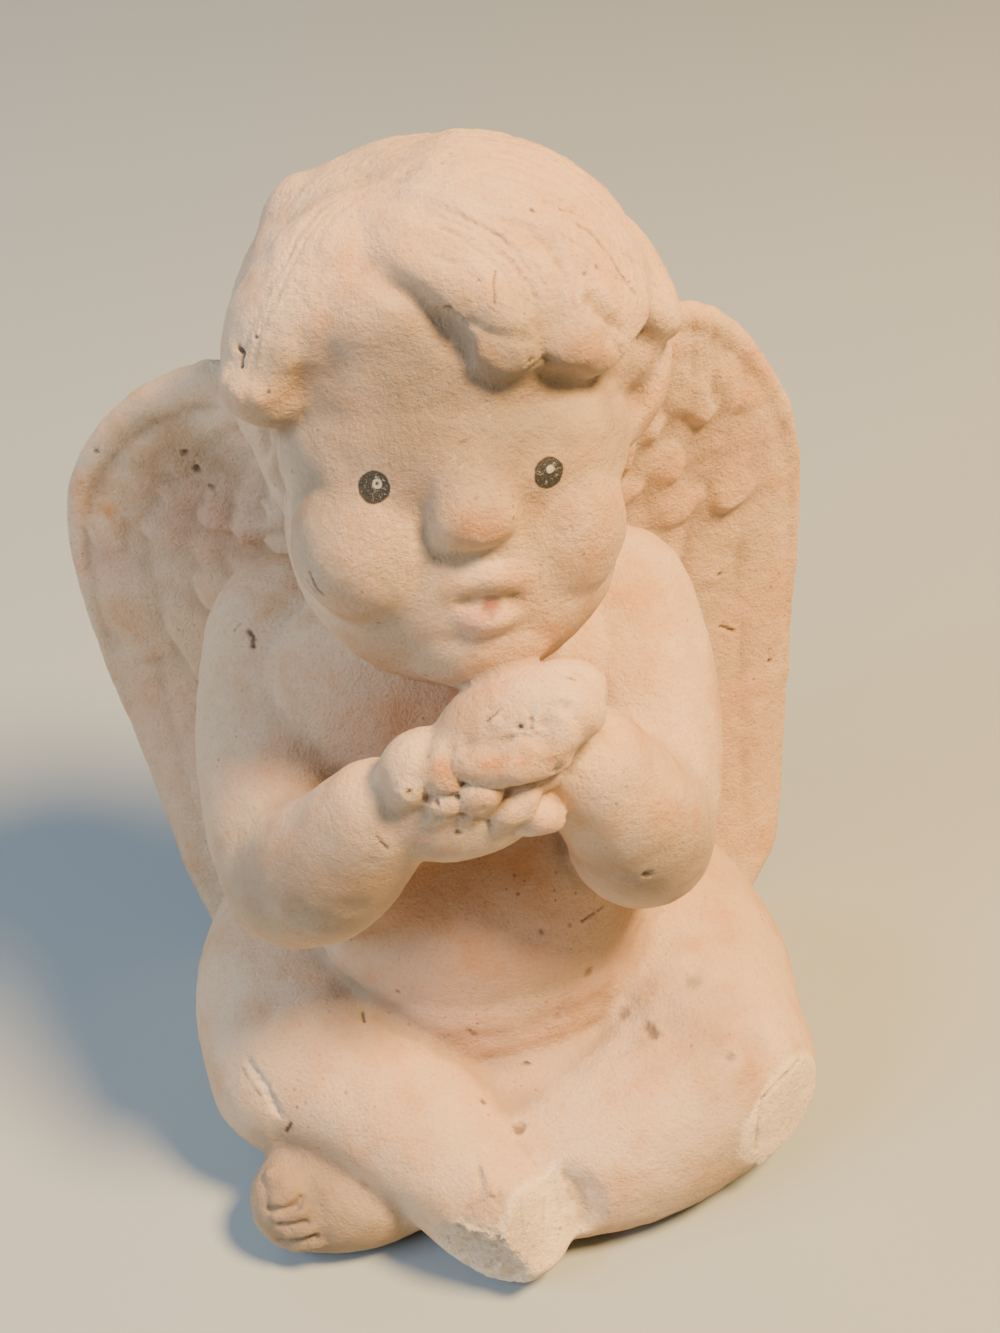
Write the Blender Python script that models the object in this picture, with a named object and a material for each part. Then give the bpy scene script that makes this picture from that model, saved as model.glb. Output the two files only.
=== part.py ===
# A seated cherub figurine, cast in one piece and cut flat underneath.
# +Z is up, the face looks along -Y, and the origin is under the middle of the casting.

import math

import bmesh
import bpy
import numpy as np
from mathutils import Euler, Matrix, Vector

# Driving size, in metres. The forms below are laid out in units of about a 130th of this height,
# and the finished casting is scaled to it exactly.
FIGURE_HEIGHT = 0.130

# How finely the clay is skinned, in units, and how often each skin is smoothed.
SOFT_GRAIN = 0.8
SOFT_SMOOTHING = 6
DETAIL_GRAIN = 0.6
DETAIL_SMOOTHING = 2
SMOOTHING_SHARE = 0.5

# Triangles in the finished casting, and the angle in degrees from which its edges are drawn sharp.
TRIANGLES = 9700
SHARP_ANGLE = 50.0

# How fine the rolls of clay are: rings to a station, sides to a ring, and the rings of a round end.
ROLL_STEPS = 5
ROLL_SIDES = 24
END_ANGLES = (30, 58, 82)

# Pose of the head: where its middle is, how far it looks up, turns and leans to +X, in degrees.
HEAD_CENTRE = (0.6, -3.0, 101.0)
HEAD_TILT = 15.0
HEAD_TURN = 7.0
HEAD_LEAN = 5.0

# The scalp that the locks lie on, in the head's own frame, and how flat the locks are.
SCALP_CENTRE = (2.0, 3.5, 4.5)
SCALP_RADII = (22.3, 22.5, 22.0)
LOCK_FLATNESS = 0.55
LOCK_STEPS = 4
LOCK_SIDES = 16

# Wings: half thickness at the root and at the tip, how far the blade bulges back, how wide its rounded
# rim is as a share of the wing, and how thick the very edge is as a share of the blade.
WING_HALF_ROOT = 2.6
WING_HALF_TIP = 1.6
WING_BULGE = 3.0
WING_RIM = 1 / 6
WING_EDGE = 0.2

PLASTER = {"colour": (0.70, 0.55, 0.42, 1.0), "roughness": 0.86, "metallic": 0.0}


def clear_scene():
    for obj in list(bpy.data.objects):
        bpy.data.objects.remove(obj, do_unlink=True)


# Clay tools

def ball(clay, centre, radii, turn=(0, 0, 0), place=Matrix()):
    """An ellipsoid. turn is its rotation about X, Y and Z in degrees."""
    spin = Euler([math.radians(a) for a in turn]).to_matrix().to_4x4()
    matrix = place @ Matrix.Translation(centre) @ spin @ Matrix.Diagonal((*radii, 1))
    bmesh.ops.create_icosphere(clay, subdivisions=3, radius=1, matrix=matrix)


def through(stations, steps):
    """Values on a smooth curve through stations, which are tuples of equal length."""
    rows = [Vector(s) for s in stations]
    rows = [2 * rows[0] - rows[1]] + rows + [2 * rows[-1] - rows[-2]]
    path = []
    for a, b, c, d in zip(rows, rows[1:], rows[2:], rows[3:]):
        for i in range(steps):
            t = i / steps
            path.append(b + 0.5 * t * (c - a + t * (2 * a - 5 * b + 4 * c - d + t * (3 * (b - c) + d - a))))
    return path + [rows[-2]]


def roll(clay, stations, facing=(0, 0, 1), flat=1.0, place=Matrix(), steps=ROLL_STEPS, sides=ROLL_SIDES):
    """A round-ended roll of clay through stations of (x, y, z, radius), flattened towards facing."""
    path = through(stations, steps)
    centres = [Vector(p[:3]) for p in path]
    radii = [max(p[3], 0.05) for p in path]
    tangents = [(centres[min(i + 1, len(path) - 1)] - centres[max(i - 1, 0)]).normalized()
                for i in range(len(path))]
    rings = list(zip(centres, radii, tangents))
    for end, way in ((0, -1), (-1, 1)):
        centre, radius, tangent = rings[end]
        cap = [(centre + tangent * way * radius * math.sin(a), radius * math.cos(a), tangent)
               for a in (math.radians(d) for d in END_ANGLES)]
        rings = cap[::-1] + rings if way < 0 else rings + cap
    loops = []
    for i, (centre, radius, tangent) in enumerate(rings):
        side = tangent.cross(Vector(facing)).normalized()
        up = side.cross(tangent)
        frame = Matrix((side * radius, up * radius * flat, tangent)).transposed().to_4x4()
        matrix = place @ Matrix.Translation(centre) @ frame
        ring = bmesh.ops.create_circle(clay, cap_ends=i in (0, len(rings) - 1), segments=sides,
                                       radius=1, matrix=matrix)
        loops.append({e for v in ring["verts"] for e in v.link_edges})
    for one, two in zip(loops, loops[1:]):
        bmesh.ops.bridge_loops(clay, edges=list(one | two))


# Body: soft masses of (centre, radii), and limbs of (x, y, z, radius)

TORSO = [((0.5, 9, 13), (34, 22, 18)), ((1, -5, 5), (30, 28, 8)), ((0.5, -3, 32), (22.5, 21, 21)),
         ((1, -8, 24), (20, 17, 14)), ((0, 3, 56), (20, 15, 18)), ((0, 12, 46), (20, 11.5, 36)),
         ((-8, -3.2, 62), (17.5, 11.8, 15)), ((9, -3, 61), (14, 9.6, 14)), ((6, -22, 9), (19, 13, 11)),
         ((19.5, -18.8, 1.5), (4.5, 4.5, 4.5))]
NECK = [(0, 8, 66, 13), (0.3, 6, 80, 12.5), (0.5, 2, 90, 12)]
ARMS = [
    [(-19, 4, 66, 10.5), (-21.5, -4, 59, 10), (-21.5, -12, 52.5, 9.6), (-20.5, -18, 48.5, 9)],
    [(-20.5, -18, 48.5, 9), (-16, -24, 55, 8.4), (-9.8, -27.5, 64.5, 6.6)],
    [(19.5, 4, 66, 10.5), (21.5, -4, 59, 10), (21.2, -12, 52.5, 9.4), (20, -18, 48.8, 8.8)],
    [(20, -18, 48.8, 8.8), (18.3, -23, 57, 8.2), (13.5, -26, 68, 6.6)],
]
THIGHS = [
    [(-19, 8, 15, 15.5), (-23.5, -5, 15, 14.5), (-23, -16, 14.5, 13.5)],
    [(18, 8, 15, 15.5), (25, -7, 14, 15), (26.8, -20, 12.5, 13.6)],
]
FRONT_SHIN = [(-22.5, -16.5, 15.2, 12.6), (-13, -26, 14.5, 10.4), (-6, -32, 11.8, 9.2)]
BACK_SHIN = [(27.8, -22.5, 12, 13.2), (17, -29, 10, 11.8), (5, -32, 8.5, 9.6), (-9, -30.5, 6.5, 6.6)]


def body(clay):
    for centre, radii in TORSO:
        ball(clay, centre, radii)
    for stations in [NECK, FRONT_SHIN, BACK_SHIN] + ARMS + THIGHS:
        roll(clay, stations)


# Head

SKULL = [((2, 3.5, 4.5), (20, 21, 20.5)), ((1.0, -5.0, 6.0), (17.5, 13.2, 13.5)),
         ((1.5, -4.5, -3.0), (18.9, 15.6, 13)), ((1.3, -3.3, -12.2), (18.4, 17.6, 18.2)),
         ((-8.3, -11.2, -11.0), (8.8, 9.4, 9.0)), ((10.2, -11.0, -10.6), (8.2, 9.2, 8.8)),
         ((-4.4, -8.4, 11.4), (10.5, 8.6, 8.8)), ((-10.4, 8.4, 17.2), (6.6, 7.5, 6.6)),
         ((-18.0, -6.8, 5.2), (5.0, 5.6, 4.6))]
NOSE = [
    [(-0.4, -17.2, -1.6, 2.0), (-0.7, -19.0, -4.2, 2.5), (-0.9, -20.3, -6.5, 2.8)],
    [(2.2, -17.2, -1.6, 2.0), (2.5, -19.0, -4.2, 2.5), (2.7, -20.3, -6.5, 2.8)],
]
NOSE_TIP = ((0.9, -20.1, -7.3), (4.4, 3.2, 2.3))
UPPER_LIP = [(-2.8, -19.5, -14.6, 0.9), (-0.3, -20.4, -13.4, 1.2), (1.9, -20.8, -13.0, 1.35),
             (4.1, -20.4, -13.3, 1.2), (6.6, -19.2, -14.6, 0.9)]
LOWER_LIP = [(-1.0, -19.4, -17.1, 1.0), (0.9, -19.9, -17.8, 1.4), (3.2, -19.9, -17.8, 1.4),
             (5.1, -19.2, -17.2, 1.0)]
CHIN = ((1.6, -11.4, -19.8), (9.6, 8.0, 8.4))


def head_frame():
    turn = Matrix.Rotation(math.radians(HEAD_TURN), 4, "Z")
    tilt = Matrix.Rotation(math.radians(-HEAD_TILT), 4, "X")
    lean = Matrix.Rotation(math.radians(HEAD_LEAN), 4, "Y")
    return Matrix.Translation(HEAD_CENTRE) @ turn @ tilt @ lean


def skull(clay, head):
    for centre, radii in SKULL:
        ball(clay, centre, radii, place=head)
    for stations in NOSE + [UPPER_LIP, LOWER_LIP]:
        roll(clay, stations, place=head)
    ball(clay, *NOSE_TIP, place=head)


def scalp(azimuth, elevation, lift=0.0):
    """A point on the scalp. Azimuth 0 is the front and 90 the side at +X, in degrees."""
    a, e = math.radians(azimuth), math.radians(elevation)
    way = Vector((math.sin(a) * math.cos(e), -math.cos(a) * math.cos(e), math.sin(e)))
    return Vector(SCALP_CENTRE) + Vector([(r + lift) * w for r, w in zip(SCALP_RADII, way)])


def lock(clay, head, route):
    """A lock of hair along route, a list of (azimuth, elevation, lift, radius)."""
    stations = [(*scalp(a, e, lift), radius) for a, e, lift, radius in through(route, LOCK_STEPS)]
    facing = (Vector(stations[len(stations) // 2][:3]) - Vector(SCALP_CENTRE)).normalized()
    roll(clay, stations, facing=facing, flat=LOCK_FLATNESS, place=head, steps=1, sides=LOCK_SIDES)


# The cap of hair, the sweeps to both sides of the parting that end in curls on the brow, bumps at the
# side at -X, and short curls over the ears.
CAP = ((1.4, 5.6, 6.4), (22.2, 21.0, 20.9))
FRINGE = [
    [(-34, 56, -1.0, 4.5), (-16, 45, 0.6, 5.4), (1, 34, 1.4, 5.4), (7, 25, 1.8, 4.8), (8, 15.5, 1.6, 4.0)],
    [(-38, 66, -2.4, 5.5), (-4, 60, -0.4, 7.0), (22, 46, 0.6, 7.0), (29, 30, 1.4, 5.6),
     (25, 17, 1.4, 4.4)],
    [(-36, 61, -2.0, 5.5), (-10, 53, -0.2, 6.5), (12, 41, 0.6, 6.2), (18, 29, 1.0, 5.0)],
    [(-44, 74, -3.2, 5.5), (12, 70, -1.0, 7.5), (45, 48, -0.2, 7.5), (47, 29, 1.2, 6.0),
     (34, 13.5, 1.6, 4.2)],
    [(-60, 80, -3.8, 6.0), (60, 72, -2.6, 7.5), (75, 46, -2.6, 7.5), (77, 27, 0.0, 5.6),
     (77, 14, 2.4, 4.3)],
    [(-42, 58, -2.0, 5.5), (-48, 44, -1.2, 6.8), (-56, 28, -0.6, 7.2), (-61, 14, 0.2, 7.0),
     (-63, 6, 0.4, 5.8)],
    [(-50, 64, -3.0, 6.0), (-62, 50, -3.2, 7.3), (-72, 32, -3.2, 7.0), (-76, 14, -1.4, 6.4),
     (-75, 5, -0.8, 5.8)],
    [(-60, 74, -5.0, 6.0), (-84, 52, -5.0, 7.5), (-92, 33, -4.6, 6.0), (-95, 19, -2.6, 4.8)],
]
BUMPS = [(-94, 16, -3.2, 4.6), (-86, -1, -2.8, 4.6)]
OVER_EARS = [
    [(84, 6, -1.2, 4.2), (78, -8, 0.0, 4.4), (74, -22, -0.8, 3.4)],
    [(104, 8, -1.6, 5.2), (98, -12, -0.6, 4.8), (92, -30, -1.5, 3.4)],
    [(-92, -2, -1.6, 4.6), (-90, -18, -1.2, 3.4), (-88, -31, 0.0, 3.0), (-86, -42, 1.2, 2.6),
     (-84, -52, 1.6, 2.0)],
    [(-112, 8, -2.4, 5.2), (-106, -10, -2.4, 4.4), (-100, -28, -2.0, 3.2)],
]
BACK_LOCKS = 7
BACK_FROM, BACK_SPAN = 100, 160
BACK_DRIFT = (-6, 8)    # how far they wander aside, in turn


def back_locks():
    """Plainer locks that fall from the crown round the back and end at the nape."""
    for i in range(BACK_LOCKS):
        azimuth = BACK_FROM + i * BACK_SPAN / (BACK_LOCKS - 1)
        drift = BACK_DRIFT[i % 2]
        yield [(azimuth * 0.5 + 90, 78, -3.4, 5.5), (azimuth + drift, 48, -3.4, 7.0),
               (azimuth, 20, -2.4, 6.6), (azimuth - drift, -6, -1.6, 5.6), (azimuth, -24, -1.4, 3.6)]


def hair(clay, head):
    ball(clay, *CAP, place=head)
    for route in FRINGE + OVER_EARS + list(back_locks()):
        lock(clay, head, route)
    for azimuth, elevation, lift, radius in BUMPS:
        ball(clay, scalp(azimuth, elevation, lift), [radius] * 3, place=head)


# Hands and feet

PALMS = [((-1.0, -28.6, 66.6), (10.2, 6.4, 6.8), (0, -4, 0)),
         ((2.4, -28.6, 71.4), (8.2, 5.2, 4.6), (0, 0, 0)),
         ((-3.6, -29.4, 72.2), (5.8, 4.6, 4.6), (0, 0, 0))]
UPPER_PALM = [((6.2, -28.6, 76.6), (9.6, 5.8, 5.7), (0, -16, 0)),
              ((9.4, -26.4, 73.6), (6, 5, 6), (0, -10, 0))]
# Fingers of the lower hand from its outer edge inwards, then the finger and thumb of the upper hand.
FINGERS = [
    [(-6.4, -31.2, 70.6, 2.2), (-5.8, -31.6, 72.2, 2.5), (-5.0, -30.8, 73.4, 2.1)],
    [(-3.0, -32.2, 72.0, 2.0), (-2.4, -32.0, 74.0, 2.5), (-1.6, -30.8, 75.2, 2.1)],
    [(-3.6, -33.0, 68.8, 1.9), (-2.2, -33.6, 70.8, 1.8)],
    [(0.0, -33.4, 69.4, 1.8), (1.2, -33.9, 71.8, 1.9), (2.4, -32.8, 72.8, 1.6)],
    [(3.2, -33.2, 67.8, 1.8), (4.8, -33.6, 69.4, 2.0), (6.0, -32.2, 71.0, 1.6)],
    [(5.8, -32.6, 66.4, 1.8), (7.4, -32.8, 67.2, 1.9), (8.8, -32.2, 65.8, 1.4)],
    [(0.6, -33.2, 75.6, 1.7), (3.7, -33.7, 75.3, 1.9), (6.9, -33.1, 74.9, 2.0), (9.4, -31.8, 74.9, 2.2)],
    [(9.6, -28.0, 76.2, 2.4), (12.0, -28.2, 76.8, 3.0), (12.9, -27.0, 79.0, 2.8),
     (10.6, -27.4, 80.2, 2.6)],
]
# The front shin lies over the other leg, and the other foot peeps out under it.
SHIN_END = [(-15, -24, 14.6, 9.6), (-6, -32.4, 11.6, 9.0), (0.0, -38.8, 8.4, 8.6)]
OTHER_FOOT = [(-9, -29, 5.8, 5.8), (-17, -32.2, 6.4, 6.7), (-25.0, -31.8, 6.5, 6.8)]


def palms_and_feet(clay):
    for centre, radii, turn in PALMS:
        ball(clay, centre, radii, turn)
    roll(clay, SHIN_END)
    roll(clay, OTHER_FOOT)


def fingers(clay):
    for centre, radii, turn in UPPER_PALM:
        ball(clay, centre, radii, turn)
    for stations in FINGERS:
        roll(clay, stations)


# Wings. A place on a wing is (across, down): from the inner edge, and from the top, each 0 to 1.

OUTER_LEFT = [(9, 13, 84), (22, 19, 92.5), (31, 23.5, 89.5), (38, 26, 84), (43, 28, 77), (45.3, 28.5, 70),
              (46, 28.5, 62), (45.2, 28, 49.5), (42.6, 26, 33), (40, 23, 14.5), (36.5, 19, 3)]
OUTER_RIGHT = [(9, 13, 84), (20, 17, 95), (31, 20.5, 95.5), (37.5, 24, 90), (43.5, 27, 79.5),
               (46, 28.5, 70), (46.7, 29, 59), (46, 28, 43), (45.2, 26, 22), (43.8, 22, 8), (39, 17, 2)]
WING_INNER = [(7, 12, 82), (6, 10, 77), (6, 10, 72), (6.5, 10.5, 66), (7, 12, 59), (8, 13, 51),
              (10, 14, 42), (13, 15, 32), (17, 15.5, 22), (22, 16, 12), (27, 16, 3)]
WING_OUTER = {-1: OUTER_LEFT, 1: OUTER_RIGHT}
WING_EDGES = {side: [through(edge, 8) for edge in (WING_INNER, WING_OUTER[side])] for side in (-1, 1)}
WING_COLUMNS, WING_ROWS = 54, 130
WING_WIDE, WING_LONG = 38.0, 93.0    # about one across and one down, in units
WING_BULGE_END = 1.3                 # the bulge is over at one over this of the way down
WING_TOP_RIM = 0.3
WING_TURN = 0.01                     # the step that the wing's normals are taken over
ARM_RADIUS, ARM_TAPER, ARM_FLATNESS = 3.3, 0.26, 0.85
ARM_SHARE = {-1: 1.0, 1: 0.75}

# Feathers, in rows from the top: the place of each tip, and half its width in units.
FEATHER_LENGTH = 13.0
FEATHER_RELIEF = 1.7
FEATHER_EDGE = 1.3             # how far in a feather rises to its height, in units
FEATHER_LEAN = 0.1
FEATHER_RISE = (0.72, 0.42)    # middle and spread of their heights, as shares of the relief
FEATHER_CROWN = 0.45           # how far their sides fall away, as a share
QUILLS = 4
QUILL_RELIEF = 0.35
QUILL_START = 0.12
FEATHERS_LEFT = [
    [(0.14, 0.27, 2.6), (0.28, 0.275, 2.6), (0.41, 0.28, 2.6), (0.54, 0.285, 2.6), (0.67, 0.29, 2.7),
     (0.8, 0.3, 2.7), (0.93, 0.315, 2.6)],
    [(0.1, 0.33, 2.9), (0.24, 0.335, 2.9), (0.37, 0.34, 2.8), (0.49, 0.35, 2.7), (0.62, 0.36, 2.8),
     (0.74, 0.37, 2.6), (0.85, 0.385, 2.6), (0.97, 0.41, 2.8)],
    [(0.14, 0.41, 3.2), (0.29, 0.42, 3.2), (0.44, 0.435, 3.2), (0.58, 0.46, 3.2), (0.72, 0.455, 3.4),
     (0.92, 0.505, 3.8)],
    [(0.16, 0.49, 3.8), (0.33, 0.51, 3.8), (0.5, 0.55, 3.8), (0.66, 0.6, 3.6), (0.83, 0.61, 3.8)],
    [(0.2, 0.59, 4.2), (0.42, 0.62, 4.2), (0.64, 0.66, 4.2), (0.84, 0.68, 3.8), (0.97, 0.72, 3.2)],
]
FEATHERS_RIGHT = [
    [(0.14, 0.285, 2.6), (0.28, 0.295, 2.6), (0.41, 0.305, 2.6), (0.54, 0.315, 2.5), (0.67, 0.325, 2.6),
     (0.81, 0.348, 2.9), (0.95, 0.375, 2.8)],
    [(0.1, 0.345, 2.8), (0.24, 0.35, 2.8), (0.38, 0.36, 2.8), (0.49, 0.375, 2.6), (0.61, 0.397, 3.0),
     (0.79, 0.415, 3.4), (0.95, 0.445, 3.0)],
    [(0.12, 0.41, 3.2), (0.27, 0.42, 3.2), (0.42, 0.445, 3.2), (0.58, 0.482, 3.4), (0.76, 0.505, 3.8),
     (0.93, 0.54, 3.4)],
    [(0.16, 0.49, 3.8), (0.33, 0.515, 3.8), (0.5, 0.56, 3.8), (0.69, 0.605, 4.2), (0.97, 0.645, 3.6)],
]
FEATHERS = {-1: FEATHERS_LEFT, 1: FEATHERS_RIGHT}


def wing_point(side, across, down):
    """A point on the wing's middle surface."""
    edges = WING_EDGES[side]
    place = down * (len(edges[0]) - 1)
    i = max(0, min(int(place), len(edges[0]) - 2))
    inner, outer = [edge[i].lerp(edge[i + 1], place - i) for edge in edges]
    point = inner.lerp(outer, across)
    point.y += WING_BULGE * math.sin(math.pi * across) * math.sin(math.pi * min(down * WING_BULGE_END, 1.0))
    return Vector((side * point.x, point.y, point.z))


def plumage(side, across, down):
    """Height of the feathers over the wing, in units."""
    a, d = across * WING_WIDE, down * WING_LONG
    # The rows waver, as they were modelled by hand.
    a, d = (a + 0.9 * math.sin(0.23 * d + 1.3) + 0.6 * math.sin(0.61 * d + 0.37 * a + side),
            d + 0.8 * math.sin(0.31 * a + 0.7 * side) + 0.6 * math.sin(0.53 * a - 0.41 * d))
    place = across * QUILLS - QUILL_START
    off = 2 * (place - math.floor(place)) - 1
    lift = QUILL_RELIEF * (1 - off ** 6)
    for row in reversed(FEATHERS[side]):
        top = 0.0
        for x, y, half in row:
            w, s = abs(a - x * WING_WIDE), y * WING_LONG - d - FEATHER_LEAN * (a - x * WING_WIDE)
            if 0 < s < FEATHER_LENGTH and w < half:
                reach = half * math.sqrt(1 - max(0.0, 1 - s / half) ** 2)
                inside = min(max((reach - w) / FEATHER_EDGE, 0.0), 1.0)
                rise = FEATHER_RISE[0] + FEATHER_RISE[1] * math.sin(37.0 * x + 61.0 * y)
                crown = 1 - FEATHER_CROWN * (w / half) ** 2
                top = max(top, FEATHER_RELIEF * rise * math.sqrt(inside) * crown * (1 - s / FEATHER_LENGTH))
        lift = max(lift, top)
    return lift


def wing(clay, side):
    """The blade, as one closed skin with the feathers on its front."""
    skins = []
    for front in (1, -1):
        verts = []
        for row in range(WING_ROWS + 1):
            for column in range(WING_COLUMNS + 1):
                u, v = column / WING_COLUMNS, row / WING_ROWS
                here = wing_point(side, u, v)
                ahead = wing_point(side, u, v + WING_TURN) - wing_point(side, u, v - WING_TURN)
                aside = wing_point(side, u + WING_TURN, v) - wing_point(side, u - WING_TURN, v)
                normal = ahead.cross(aside).normalized() * side
                rim = min(1.0, min(1 - u, 1 - v, v + WING_TOP_RIM) / WING_RIM)
                half = WING_HALF_ROOT + (WING_HALF_TIP - WING_HALF_ROOT) * v
                half *= WING_EDGE + (1 - WING_EDGE) * math.sqrt(rim * (2 - rim))
                lift = plumage(side, u, v) * rim if front > 0 else 0.0
                verts.append(clay.verts.new(here + normal * front * (half + lift)))
        skins.append(verts)
    wide = WING_COLUMNS + 1
    for verts in skins:
        for row in range(WING_ROWS):
            for column in range(WING_COLUMNS):
                a = row * wide + column
                clay.faces.new([verts[i] for i in (a, a + 1, a + wide + 1, a + wide)])
    loop = (list(range(wide)) + [row * wide + WING_COLUMNS for row in range(1, WING_ROWS + 1)]
            + [WING_ROWS * wide + column for column in reversed(range(WING_COLUMNS))]
            + [row * wide for row in reversed(range(1, WING_ROWS))])
    for a, b in zip(loop, loop[1:] + loop[:1]):
        clay.faces.new([skins[0][a], skins[0][b], skins[1][b], skins[1][a]])
    # The arm of the wing is a roll along its upper and outer edge.
    edge = [(side * x, y, z, ARM_SHARE[side] * (ARM_RADIUS - ARM_TAPER * i))
            for i, (x, y, z) in enumerate(WING_OUTER[side])]
    roll(clay, edge, facing=(0, 1, 0), flat=ARM_FLATNESS)


def cherub():
    head = head_frame()
    masses = bmesh.new()
    body(masses)
    skull(masses, head)
    hair(masses, head)
    palms_and_feet(masses)
    soft = remeshed(masses, SOFT_GRAIN, SOFT_SMOOTHING)
    clay = bmesh.new()
    clay.from_mesh(soft)
    ball(clay, *CHIN, place=head)
    fingers(clay)
    for side in (-1, 1):
        wing(clay, side)
    return remeshed(clay, DETAIL_GRAIN, DETAIL_SMOOTHING)


# From clay to casting

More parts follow.
